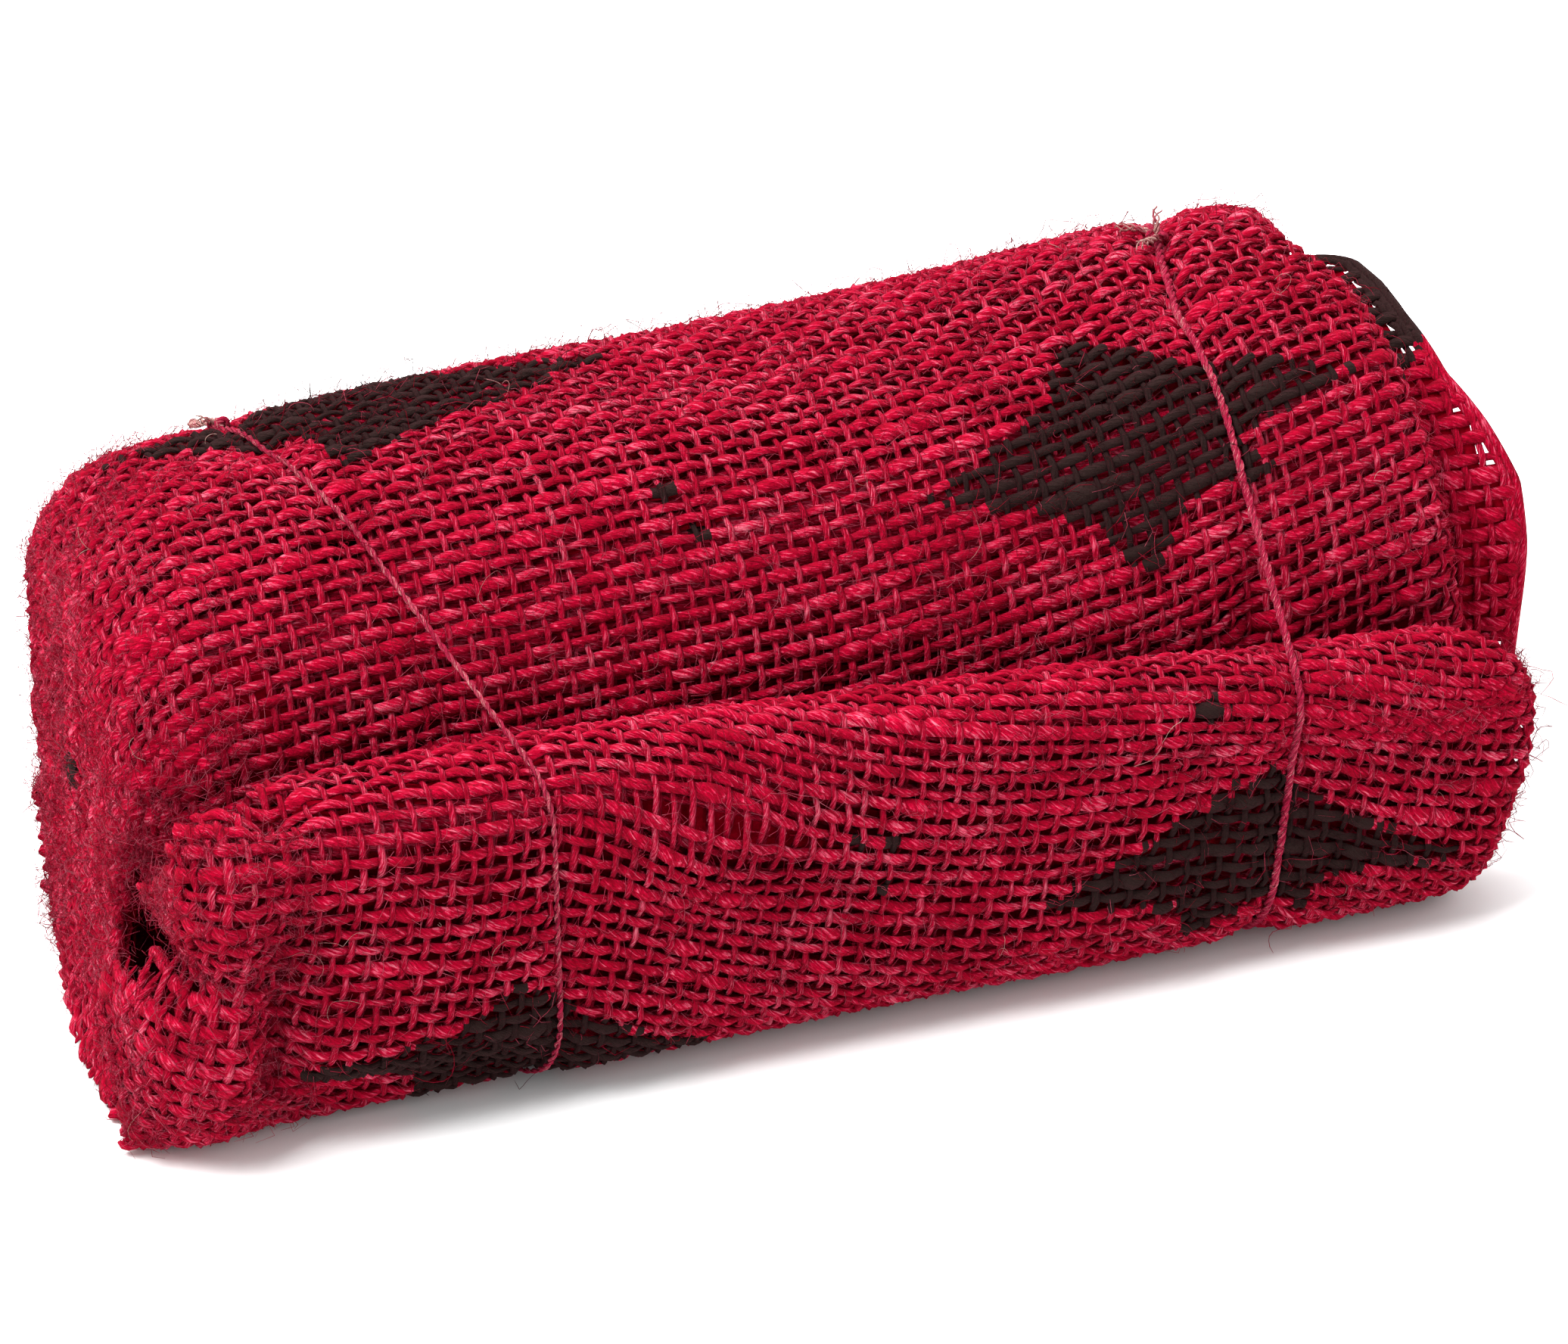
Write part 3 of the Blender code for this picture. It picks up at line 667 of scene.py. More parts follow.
def weft_yarns(patch, weave, stars, rng, kind):
    """The yarns along the bundle, as separate lengths."""
    s_range = patch.low[0]
    first = int(s_range[0] / YARN_PITCH) - MORE_WEFTS
    last = int(s_range[-1] / YARN_PITCH) + MORE_WEFTS
    count = last - first
    number = np.arange(first, last)[:, None]
    rings = int((MOST_RIGHT - MOST_LEFT) / YARN_PITCH * kind.steps)
    crossing = np.round(MOST_LEFT / YARN_PITCH) + np.arange(rings) / kind.steps

    def wave(every, amount):
        return amount * wavy(rng, count, rings, every * kind.steps)

    wander = sum(wave(*pair) for pair in WEFT_WANDER)
    line = number * YARN_PITCH + kind.shift + np.zeros_like(wander)
    s = line + wander
    for _ in range(SETTLING):
        l = crossing * YARN_PITCH + kind.shift + weave.leaning(s)
        s = line + weave.drift(l, s) + weave.parting(l, line) + wander
    low = np.interp(s, *patch.low) - np.abs(rng.normal(size=(count, 1))) * RAVEL
    high = np.interp(s, *patch.high)
    shown = (l > low) & (l < high) & (s > s_range[0]) & (s < s_range[-1])
    over = np.cos(np.pi * (crossing + number))
    points, normals = laid(patch, l, s, kind.wave * over)
    slub = np.clip(wave(SLUB_EVERY, 1) - SLUB_FROM, 0, MOST_SLUB)
    thick = 1 + sum(wave(*pair) for pair in WEFT_THICKNESS) + SLUB_SIZE * slub
    thick = np.clip(thick, *THICKNESS_RANGE)
    width = kind.width * thick * (1 + OVER_SIZE * over) * bulk_at(l)
    height = kind.height * np.clip(thick, *HEIGHT_RANGE)
    dark = printed(stars, l, s, rng)
    tint = WEFT_TINT + WEFT_TINT_SPREAD * rng.normal(size=(count, 1)) + wave(*WEFT_TINT_WAVE)
    tint = np.clip(tint, *WEFT_TINT_RANGE)
    yarns = []
    for parts in zip(shown, points, normals, width, height, dark, tint):
        yarns += lengths_shown(WEFT_TAPER, *parts)
    return yarns


def warp_yarns(patch, weave, stars, rng, kind):
    """The thin yarns across the bundle, as separate lengths."""
    s_range = patch.low[0]
    bends = np.arange(s_range[0], s_range[-1], 1.0)
    first = (s_range[0] / YARN_PITCH - MORE_WEFTS) * kind.steps
    last = (s_range[-1] / YARN_PITCH + MORE_WEFTS) * kind.steps
    at = np.arange(int(first), int(last)) / kind.steps
    line = at * YARN_PITCH + kind.shift

    def wave(count, every, amount):
        return amount * wavy(rng, 1, count, every)[0]

    yarns = []
    for i in range(int(MOST_LEFT / YARN_PITCH), int(MOST_RIGHT / YARN_PITCH)):
        wander = sum(wave(len(bends), *pair) for pair in WARP_WANDER)
        s = line
        for _ in range(SETTLING):
            l = i * YARN_PITCH + kind.shift + weave.leaning(s) + np.interp(s, bends, wander)
            s = line + weave.drift(l, s) + weave.parting(l, line)
        shown = (l > np.interp(s, *patch.low)) & (l < np.interp(s, *patch.high))
        shown &= (s > s_range[0]) & (s < s_range[-1])
        points, normals = laid(patch, l, s, -kind.wave * np.cos(np.pi * (at + i)))
        every, amount = WARP_THICKNESS
        thick = (1 + wave(len(at), every * kind.steps, amount)) * bulk_at(l)
        dark = printed(stars, l, s, rng)
        tint = np.clip(WARP_TINT + WARP_TINT_SPREAD * rng.normal(), *WARP_TINT_RANGE)
        yarns += lengths_shown(WARP_TAPER, shown, points, normals, thick * kind.width,
                               thick * kind.height, dark, np.full(len(at), tint))
    return yarns


def yarn_mesh(name, yarns, sides, look):
    """One mesh of many yarns, each a tube. UV map OFBake lays each side out on a strip of
    its own, and UV map Yarn holds the millimetres along and the turns round."""
    turns = np.arange(sides) * 2 * np.pi / sides + np.pi / 2
    points, faces, bake, round_, dark, tint = [], [], [], [], [], []
    first = 0
    for number, yarn in enumerate(yarns):
        count = len(yarn.line)
        ahead = unit(np.gradient(yarn.line, axis=0))
        side = unit(np.cross(ahead, yarn.up))
        up = np.cross(side, ahead)
        ring = (yarn.line[:, None] + side[:, None] * (np.cos(turns) * yarn.width[:, None])[..., None]
                + up[:, None] * (np.sin(turns) * yarn.height[:, None])[..., None])
        points.append(ring.reshape(-1, 3))
        here = first + np.arange(count - 1)[:, None] * sides + np.arange(sides)
        nxt = first + np.arange(count - 1)[:, None] * sides + (np.arange(sides) + 1) % sides
        faces.append(np.stack([here, here + sides, nxt + sides, nxt], axis=-1).reshape(-1, 4))
        along = lengths_along(yarn.line)
        u0 = np.repeat(along[:-1], sides).reshape(-1, sides)
        u1 = np.repeat(along[1:], sides).reshape(-1, sides)
        v0 = np.broadcast_to(np.arange(sides) / sides, u0.shape)
        v1 = v0 + 1 / sides
        u = np.stack([u0, u1, u1, u0], axis=-1)
        v = np.stack([v0, v0, v1, v1], axis=-1)
        round_.append(np.stack([u, v], axis=-1).reshape(-1, 2))
        share = (number + v) / len(yarns)
        bake.append(np.stack([u / along[-1], share], axis=-1).reshape(-1, 2))
        top = np.sin(turns) > PRINT_TO
        dark.append((yarn.dark[:, None] * top).reshape(-1))
        tint.append(np.repeat(yarn.tint, sides))
        first += count * sides
    obj = raw_mesh(name, np.concatenate(points), np.concatenate(faces), look)
    for uv_name, values in (("OFBake", bake), ("Yarn", round_)):
        layer = obj.data.uv_layers.new(name=uv_name)
        layer.uv.foreach_set("vector", np.concatenate(values).astype(np.float32).ravel())
    for attribute, values in (("print", dark), ("tint", tint)):
        layer = obj.data.attributes.new(attribute, "FLOAT", "POINT")
        layer.data.foreach_set("value", np.concatenate(values).astype(np.float32))
    return obj


def linked(name, data):
    """An object of its own in the scene."""
    obj = bpy.data.objects.new(name, data)
    bpy.context.scene.collection.objects.link(obj)
    return obj


def raw_mesh(name, points, faces, look):
    """A smooth mesh object from points in the tables' millimetres and quads."""
    mesh = bpy.data.meshes.new(name)
    mesh.vertices.add(len(points))
    mesh.vertices.foreach_set("co", ((points + MIDDLE) * MM).astype(np.float32).ravel())
    mesh.loops.add(faces.size)
    mesh.loops.foreach_set("vertex_index", faces.astype(np.int32).ravel())
    mesh.polygons.add(len(faces))
    mesh.polygons.foreach_set("loop_start", np.arange(len(faces), dtype=np.int32) * 4)
    mesh.update(calc_edges=True)
    mesh.shade_smooth()
    mesh.materials.append(look)
    obj = linked(name, mesh)
    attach(obj, "root")
    return obj


def split(yarns, sides):
    """Lists of yarns, each small enough for one mesh."""
    most = MOST_TRIANGLES // (2 * sides)
    groups, rings = [[]], 0
    for yarn in yarns:
        if rings + len(yarn.line) > most:
            groups.append([])
            rings = 0
        groups[-1].append(yarn)
        rings += len(yarn.line)
    return groups


# ---------------------------------------------------------------- the ply underneath
PLY_INSET = 2.7  # how far the sheet lies inside the yarns
FLAP_INSET = 0.4
PLY_STEP = 2  # of the cloth's grid
PLY_HEIGHT = 0.3  # above the floor, at least
PLY_EDGES = (1.2, 0.6)  # how far it stays inside the cloth's left and right edges
FACES_IN = 0.3  # how far a normal at the left end points along X where the cloth faces inwards
MOST_STRETCH = 1.8  # where the cloth is drawn out more than this, the ply ends
UNDER_INSET = 1.5  # the same for the second ply of yarns
UNDER_EDGE = 2.5
UNDER_PLACES = ((1.5, 5.2), (7.0, 11.7))  # where it can be seen
TUCKED_PLACES = ((8.15, 8.95), (11.0, 11.3))  # where the left end is tucked in, with no room


def ply_under(patch, strip):
    """The ply that the outer one lies on, where it can show between the yarns."""
    place = strip.place_at(patch.low[0])
    seen = np.zeros(len(place), bool)
    for start, end in UNDER_PLACES:
        seen |= (place > start) & (place < end)
    low = patch.low + np.array([[0.0], [UNDER_EDGE]])
    for start, end in TUCKED_PLACES:
        tucked = (place > start) & (place < end)
        low[1] = np.where(tucked, np.maximum(low[1], LAP_LEFT), low[1])
    high = np.stack([patch.high[0], np.where(seen, patch.high[1] - UNDER_EDGE, low[1])])
    points = patch.points - patch.normals * UNDER_INSET
    return Patch(patch.l0, patch.s0, points, patch.normals, low, high)


def ply_mesh(patches, look):
    """The sheet under the yarns, seen between them, and its area in square metres."""
    step = GRID_STEP * PLY_STEP
    points, faces, first, cells = [], [], 0, 0
    for patch, inset in patches:
        grid = (patch.points - patch.normals * inset)[::PLY_STEP, ::PLY_STEP]
        grid[..., 2] = np.maximum(grid[..., 2], PLY_HEIGHT)
        rows, columns = grid.shape[:2]
        l = patch.l0 + np.arange(rows)[:, None] * step
        low, high = (edge[1, ::PLY_STEP] for edge in (patch.low, patch.high))
        keep = (l > low + PLY_EDGES[0]) & (l < high - PLY_EDGES[1])
        inwards = patch.normals[::PLY_STEP, ::PLY_STEP, 0] > FACES_IN
        keep &= ~(inwards & (grid[..., 0] < LAP_LEFT))
        wide, long = (np.linalg.norm(np.diff(grid, axis=axis), axis=2) < MOST_STRETCH * step
                      for axis in (1, 0))
        cell = keep[:-1, :-1] & keep[1:, :-1] & keep[:-1, 1:] & keep[1:, 1:]
        cell &= wide[:-1] & wide[1:] & long[:, :-1] & long[:, 1:]
        a = first + np.arange(rows - 1)[:, None] * columns + np.arange(columns - 1)
        quads = np.stack([a, a + 1, a + columns + 1, a + columns], axis=-1)[cell]
        points.append(grid.reshape(-1, 3))
        faces.append(quads)
        first += rows * columns
        cells += len(quads)
    points, faces = np.concatenate(points), np.concatenate(faces)
    used, index = np.unique(faces, return_inverse=True)
    obj = raw_mesh("bag_cloth_ply", points[used], index.reshape(-1, 4), look)
    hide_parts("bag_cloth")
    return obj, cells * (step * MM) ** 2


# ---------------------------------------------------------------- ties
TIE_SIDES = 6
TIE_STEPS = 360
TIE_MARGIN = 0.02  # between the tie's ends and those of the cloth on show, in places
LOOP_STEP, END_STEP = 0.45, 0.5
LOOP_SPREAD, LOOP_RADIUS = 0.34, 0.36  # shares of the tie's radius
LOOP_TINTS, END_TINTS = (0.3, 0.6), (0.7, 0.95)
# Twists: how many strands, how far off the middle, each one's radius, and a turn's length.
KNOT_TWIST = (2, 0.22, 0.28, 3.0)
END_TWIST = (3, 0.24, 0.20, 3.4)
KNOT_SIZES = (1.25, 0.9)
KNOT_FLAT, KNOT_POINTS = 2.4, 60
FACES_UP = 0.5  # the least part of the way out that points up where a knot can lie
END_FRAY = 1.6  # how far the strands open at a free end, in shares of how far off they are
FRAY_THIN = 0.6
STRAND_WAVE, STRAND_SIZE_WAVE = (9, 0.15), (6, 0.12)
START_ACROSS = (0.31, 0.52, 0.79)  # any way that no tie starts along
ROUTE_FINE = 8


def tie_route(strip, tie):
    """A taut loop in its groove, and the directions out of the bundle along it."""
    place = np.linspace(SHOWN_FROM + TIE_MARGIN, SHOWN_TO - TIE_MARGIN, TIE_STEPS)
    nominal, _ = strip.at(0.0, place)
    x = tie_x(tie, nominal[:, 0], nominal[:, 1])
    base, out = strip.at(x, place)
    face = np.column_stack([x, base + out * LAYER / 2])
    lift = swelling(face, out[:, 1]) + creasing(face) * np.clip(1 + CREASE_FADE * out[:, 1], 0, 1)
    line = base + out * (LAYER / 2 + lift - tie.groove + tie.radius + TIE_CLEAR)[:, None]
    outline = convex_hull_2d([tuple(point) for point in line])
    kept = slice(min(outline), max(outline) + 1)
    return np.column_stack([x, line])[kept], np.column_stack([np.zeros(len(x)), out])[kept]


def evened(line, step, closed=False):
    """A line's points at even steps along it."""
    if closed:
        line = np.concatenate([line, line[:1]])
    lengths = lengths_along(line)
    at = np.linspace(0, lengths[-1], max(int(lengths[-1] / step), 4) + 1)
    return np.column_stack([np.interp(at, lengths, line[:, k]) for k in range(3)])


def side_vectors(line):
    """A direction across a line at each point, which doesn't twist with it."""
    ahead = unit(np.gradient(line, axis=0))
    side = unit(np.cross(ahead[0], START_ACROSS))
    sides = []
    for way in ahead:
        side = unit(side - way * (side @ way))
        sides.append(side)
    return ahead, np.array(sides)


def twisted(line, strands, spread, radius, lay, rng, tints=LOOP_TINTS, fray=0.0):
    """Yarns twisted together round a line. fray opens them out towards the far end."""

    def wave(every, amount):
        return 1 + amount * wavy(rng, 1, len(line), every)[0]

    ahead, side = side_vectors(line)
    across = np.cross(ahead, side)
    lengths = lengths_along(line)
    share = lengths / lengths[-1]
    yarns = []
    for k in range(strands):
        angle = 2 * np.pi * (lengths / lay + k / strands)
        away = spread * (1 + fray * share**2) * wave(*STRAND_WAVE)
        at = line + side * (np.cos(angle) * away)[:, None] + across * (np.sin(angle) * away)[:, None]
        size = radius * wave(*STRAND_SIZE_WAVE) * (1 - FRAY_THIN * share**2 * (fray > 0))
        colour = np.full(len(line), rng.uniform(*tints))
        yarns.append(Yarn(at, side, size, size, np.zeros(len(line)), colour))
    return yarns


def trefoil(at, along, forward, off, size):
    """One winding of a knot, as a closed line."""
    t = np.linspace(0, 2 * np.pi, KNOT_POINTS)
    a = (np.sin(t) + 2 * np.sin(2 * t)) / 3
    b = (np.cos(t) - 2 * np.cos(2 * t)) / 3
    c = -np.sin(3 * t) / KNOT_FLAT
    return at + size * (a[:, None] * along + b[:, None] * forward + c[:, None] * off)


def tie_piece(name, strip, look, rng):
    """A tie: its twisted loop, its knot and its free ends."""
    tie = TIES[name]
    line, outs = tie_route(strip, tie)
    loop = evened(line, LOOP_STEP, closed=True)
    spread, radius = tie.radius * LOOP_SPREAD, tie.radius * LOOP_RADIUS
    yarns = twisted(loop, tie.strands, spread, radius, tie.lay, rng)
    on_top = np.where(outs[:, 2] > FACES_UP, abs(line[:, 1] - tie.knot_y), np.inf)
    at = np.argmin(on_top)
    along, off = np.array((1.0, 0.0, 0.0)), outs[at]
    forward = np.cross(along, off)
    forward = forward * -np.sign(forward[1])
    knot_at = line[at] + off * KNOT_LIFT
    turned = (forward, -along)
    for size, ways in zip(KNOT_SIZES, ((along, forward), turned)):
        winding = trefoil(knot_at, *ways, off, size)
        yarns += twisted(winding, *KNOT_TWIST, rng)
    for steps in TIE_ENDS[name]:
        route = knot_at + np.array(((0, 0, 0), *steps)) @ np.array((*turned, off))
        route = evened(smooth_route(route), END_STEP)
        yarns += twisted(route, *END_TWIST, rng, tints=END_TINTS, fray=END_FRAY)
    obj = yarn_mesh(name + "_thread", yarns, TIE_SIDES, look)
    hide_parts(name)
    return obj


def smooth_route(points):
    """A smooth line through a few points."""
    t = np.linspace(0, len(points) - 1, (len(points) - 1) * ROUTE_FINE + 1)
    i = np.clip(t.astype(int), 0, len(points) - 2)
    u = (t - i)[:, None]
    slopes = np.gradient(points, axis=0)
    a, b, m, n = points[i], points[i + 1], slopes[i], slopes[i + 1]
    return (a * (1 + 2 * u) * (1 - u) ** 2 + b * u * u * (3 - 2 * u)
            + m * u * (1 - u) ** 2 + n * u * u * (u - 1))


# ---------------------------------------------------------------- loose fibres
# How many, the mean length, steps, how far they stand off, how far they follow the wefts,
# their tints, and the X that they lie to the left of.
Fibres = namedtuple("Fibres", "count length steps stand along tints most")
FUZZ = Fibres(14000, 3.0, 2, 0.8, 1.0, (0.3, 0.95), MOST_RIGHT)
LEFT_FUZZ = Fibres(5000, 3.4, 2, 1.1, 0.4, (0.4, 1.0), -78.0)
HAIRS = Fibres(1300, 8.0, 9, 2.4, 0.3, (0.2, 0.9), MOST_RIGHT)
PALE_HAIRS = Fibres(60, 7.0, 14, 2.4, 0.3, (0.65, 1.0), MOST_RIGHT)
RED_FIBRES = (FUZZ, LEFT_FUZZ, HAIRS)
FIBRE_SIDES = 3
FIBRE_RADII = (0.03, 0.055)
FIBRE_TRIES = 3  # places tried for each fibre
FIBRE_AHEAD = 2.0
FIBRE_LENGTHS = (2.5, 0.4)  # the shape and scale of how their lengths spread
MOST_FIBRE = 1.5  # the longest one, in mean lengths
CURL_PER_MM = 0.36
FIBRE_LIFT, FIBRE_SHAKE = 0.3, 0.1  # off the cloth at the start, and at random at each step
FIBRE_FROM = 0.6  # how far off the yarns' middle they start
STAND_LEAST, PUSH_OUT, PUSH_IN = 0.7, 0.25, 0.2  # the band that they are kept in
FIBRE_HEIGHT = 0.3  # above the floor, at least
FIBRE_TIP = 0.4
FIBRE_LOWEST = 2.0  # they grow from this height up, and not where the cloth faces down
FIBRE_FACES = -0.5
FIBRE_EDGES = (1.0, 2.0)  # how far inside the cloth's left and right edges they grow
FIBRE_S_EDGES = (10, -8)  # and from which rows of the grid
PRINTED_FIBRES = 0.85  # the share of the fibres in the stars that the print has reached


def fibres(patch, kind, rng):
    """Fine loose fibres that lie on the cloth and stand off it in curls."""
    count = kind.count * FIBRE_TRIES
    s = rng.uniform(*(patch.low[0, row] for row in FIBRE_S_EDGES), count)
    low = np.interp(s, *patch.low) + FIBRE_EDGES[0]
    high = np.minimum(np.interp(s, *patch.high) - FIBRE_EDGES[1], kind.most)
    l = rng.uniform(low, np.maximum(high, low))
    points, normals = sample(patch, l, s)
    ahead = unit(sample(patch, l + FIBRE_AHEAD, s)[0] - points)
    grow = (normals[:, 2] > FIBRE_FACES) & (points[:, 2] > FIBRE_LOWEST) & (high > low)
    kept = np.flatnonzero(grow)[: kind.count]
    points, normals, ahead = points[kept], normals[kept], ahead[kept]
    dark = printed(STARS, l[kept], s[kept], rng) * (rng.random(len(kept)) < PRINTED_FIBRES)
    count = len(kept)
    length = kind.length * np.minimum(rng.gamma(*FIBRE_LENGTHS, count), MOST_FIBRE)[:, None]
    bend = CURL_PER_MM * kind.length / kind.steps
    way = unit(rng.normal(size=(count, 3)) + normals * FIBRE_LIFT + ahead * kind.along)
    curl = rng.normal(size=(count, 3))
    lines = [points + normals * FIBRE_FROM]
    for _ in range(kind.steps):
        way = unit(way + np.cross(curl, way) * bend + rng.normal(size=way.shape) * FIBRE_SHAKE)
        off = ((lines[-1] - points) * normals).sum(axis=1)
        climb = (way * normals).sum(axis=1)
        push = np.where(off < STAND_LEAST, PUSH_OUT - np.minimum(climb, 0), 0.0)
        push = np.where(off > kind.stand, -PUSH_IN - np.maximum(climb, 0), push)
        way = unit(way + normals * push[:, None])
        lines.append(lines[-1] + way * length / kind.steps)
    lines = np.stack(lines, axis=1)
    lines[..., 2] = np.maximum(lines[..., 2], FIBRE_HEIGHT)
    ones = np.ones(kind.steps + 1)
    sizes = rng.uniform(*FIBRE_RADII, (count, 1)) * np.append(ones[1:], FIBRE_TIP)
    tints = rng.uniform(*kind.tints, (count, 1)) * ones
    ups = np.broadcast_to(normals[:, None], lines.shape)
    return [Yarn(*parts) for parts in zip(lines, ups, sizes, sizes, dark[:, None] * ones, tints)]


# ---------------------------------------------------------------- materials
def node(tree, kind, inputs=(), **settings):
    """A shader node, with its settings and its inputs: links or plain values."""
    made = tree.nodes.new(kind)
    for name, value in settings.items():
        setattr(made, name, value)
    for key, value in dict(inputs).items():
        if isinstance(value, bpy.types.NodeSocket):
            tree.links.new(value, made.inputs[key])
        else:
            made.inputs[key].default_value = value
    return made


def ramp(tree, factor, stops):
    made = node(tree, "ShaderNodeValToRGB", {0: factor})
    elements = made.color_ramp.elements
    while len(elements) < len(stops):
        elements.new(0.5)
    for element, (place, colour) in zip(elements, stops):
        element.position = place
        element.color = (*colour, 1.0)
    return made.outputs["Color"]


def maths(tree, operation, a, b=0.0):
    return node(tree, "ShaderNodeMath", {0: a, 1: b}, operation=operation).outputs[0]


def times(tree, value, factor):
    return maths(tree, "MULTIPLY", value, factor)


def spread(tree, value, factor):
    """A value that varies round a half, taken from there and made larger."""
    return times(tree, maths(tree, "SUBTRACT", value, 0.5), factor)


def noise(tree, place, scale, detail=2.0, roughness=0.5, distortion=0.0):
    return node(tree, "ShaderNodeTexNoise", {
        "Vector": place, "Scale": scale, "Detail": detail, "Roughness": roughness,
        "Distortion": distortion}).outputs["Fac"]


def new_look(name, values):
    """A material, its nodes and its shader, with the shader's own values set."""
    look = bpy.data.materials.new(name)
    look.use_nodes = True
    shader = look.node_tree.nodes["Principled BSDF"]
    for key, value in values.items():
        shader.inputs[key].default_value = value
    return look, look.node_tree, shader


def add_bump(tree, shader, strength, height):
    bump = node(tree, "ShaderNodeBump", {"Strength": strength, "Distance": BUMP_DEPTH, "Height": height})
    tree.links.new(bump.outputs["Normal"], shader.inputs["Normal"])


YARN_STOPS = (
    (0.0, (0.18, 0.0003, 0.008)),
    (0.35, (0.29, 0.0004, 0.014)),
    (0.58, (0.43, 0.0012, 0.026)),
    (0.75, (0.55, 0.042, 0.096)),
    (1.0, (0.66, 0.15, 0.20)),
)
TIE_STOPS = (
    (0.0, (0.22, 0.003, 0.02)),
    (0.4, (0.40, 0.012, 0.05)),
    (0.62, (0.52, 0.05, 0.10)),
    (0.82, (0.64, 0.26, 0.26)),
    (1.0, (0.76, 0.50, 0.42)),
)
# The ply's colours: the real second ply of the cloth, made darker than the yarns as painted shade.
PLY_PAINTED_SHADE_STOPS = ((0.3, (0.11, 0.0, 0.003)), (0.7, (0.28, 0.0006, 0.010)))
FLOOR_STOPS = ((0.0, (0.90, 0.90, 0.90)), (1.0, (0.93, 0.93, 0.93)))
PRINT_COLOUR = (0.018, 0.010, 0.009, 1.0)
YARN_TWIST, TIE_TWIST = 0.13, 0.3  # turns a millimetre
YARN_SHADER = {
    "Roughness": 0.75,
    "Specular IOR Level": 0.02,
    "Sheen Weight": 0.04,
    "Sheen Roughness": 0.45,
    "Sheen Tint": (1.0, 0.22, 0.32, 1.0),
}
PLY_SHADER = {"Roughness": 0.95, "Specular IOR Level": 0.0}
FLOOR_SHADER = {"Roughness": 0.9}
BUMP_DEPTH = 0.0005
YARN_BUMP, PLY_BUMP = 1.0, 0.8
# Noise: its scale, detail, roughness and distortion.
STREAKS = (1.7, 4.0, 0.65, 0.4)
BLOTCHES = (160.0, 4.0, 0.6)
GRAIN = (2600.0, 2.0, 0.6)
PLY_BLOTCHES = (420.0, 4.0, 0.7)
FLOOR_BLOTCHES = (3.0,)
STRANDS_ROUND = 4  # in a yarn's own twist
STREAK_ALONG, STREAK_ROUND = 0.3, 7.0
BLOTCH_SHADE, STREAK_SHADE = 0.6, 2.6  # how much they change the tint
STRAND_BUMP, STREAK_BUMP, FINE_BUMP = 0.1, 1.3, 0.6
PRINT_EDGE, PRINT_GRAIN = 0.55, 0.35  # where the print ends, and how much of that is grain
MIX_A, MIX_B, MIX_RESULT = 6, 7, 2  # a colour Mix node's sockets


def yarn_look(name, stops, twist):
    """Spun jute: its colour varies from yarn to yarn and along each, fibres wind round it,
    and the print lies on top of it."""
    look, tree, shader = new_look(name, YARN_SHADER)
    place = node(tree, "ShaderNodeTexCoord").outputs["Object"]
    yarn = node(tree, "ShaderNodeUVMap", uv_map="Yarn").outputs["UV"]
    along, round_ = node(tree, "ShaderNodeSeparateXYZ", {0: yarn}).outputs[:2]
    wound = maths(tree, "ADD", times(tree, along, twist), round_)
    waves = maths(tree, "SINE", times(tree, wound, 2 * np.pi * STRANDS_ROUND))
    fibre = node(tree, "ShaderNodeCombineXYZ", {
        0: times(tree, along, STREAK_ALONG), 1: times(tree, wound, STREAK_ROUND)})
    streaks = noise(tree, fibre.outputs[0], *STREAKS)
    blotch = noise(tree, place, *BLOTCHES)
    fine = noise(tree, place, *GRAIN)
    tint = node(tree, "ShaderNodeAttribute", attribute_name="tint").outputs["Fac"]
    varied = maths(tree, "ADD", spread(tree, blotch, BLOTCH_SHADE), spread(tree, streaks, STREAK_SHADE))
    red = ramp(tree, maths(tree, "ADD", tint, varied), stops)
    dark = node(tree, "ShaderNodeAttribute", attribute_name="print").outputs["Fac"]
    grained = maths(tree, "ADD", dark, times(tree, fine, PRINT_GRAIN))
    cover = maths(tree, "GREATER_THAN", grained, PRINT_EDGE)
    colour = node(tree, "ShaderNodeMix", {"Factor": cover, MIX_A: red, MIX_B: PRINT_COLOUR},
                  data_type="RGBA").outputs[MIX_RESULT]
    tree.links.new(colour, shader.inputs["Base Color"])
    strands = times(tree, waves, STRAND_BUMP)
    fuzz = maths(tree, "ADD", times(tree, streaks, STREAK_BUMP), times(tree, fine, FINE_BUMP))
    add_bump(tree, shader, YARN_BUMP, maths(tree, "ADD", strands, fuzz))
    return look


def ply_look():
    """The ply under the yarns, with a mottling of its own: its red is made darker than the yarns' as
    painted shade for the gaps between them.
    """
    look, tree, shader = new_look("burlap_ply_painted_shade", PLY_SHADER)
    place = node(tree, "ShaderNodeTexCoord").outputs["Object"]
    blotch = noise(tree, place, *PLY_BLOTCHES)
    tree.links.new(ramp(tree, blotch, PLY_PAINTED_SHADE_STOPS), shader.inputs["Base Color"])
    add_bump(tree, shader, PLY_BUMP, blotch)
    return look


def floor_look():
    look, tree, shader = new_look("studio_floor", FLOOR_SHADER)
    place = node(tree, "ShaderNodeTexCoord").outputs["Object"]
    mottle = noise(tree, place, *FLOOR_BLOTCHES)
    tree.links.new(ramp(tree, mottle, FLOOR_STOPS), shader.inputs["Base Color"])
    return look


# ---------------------------------------------------------------- camera, light and floor
AZIMUTH, ELEVATION = np.radians(-22.0), np.radians(31.0)
PIXELS_PER_MM = 10.4
PICTURE_WIDTH, PICTURE_HEIGHT = 2072, 1776
ORIGIN_PIXEL = (1038, 1173)  # where the tables' origin shows
CAMERA_AWAY = 2500.0
SENSOR = 36.0
CLIP_END = 20.0  # metres
FLOOR_HALF = 4.0  # metres
LIGHTS = (
    # name, place, size, power
    ("key_light", (-820.0, -180.0, 1450.0), 900.0, 46.0),
    ("fill_light", (900.0, -700.0, 700.0), 900.0, 2.0),
    ("back_light", (200.0, 900.0, 1200.0), 900.0, 22.0),
)
WORLD_STRENGTH = 0.96


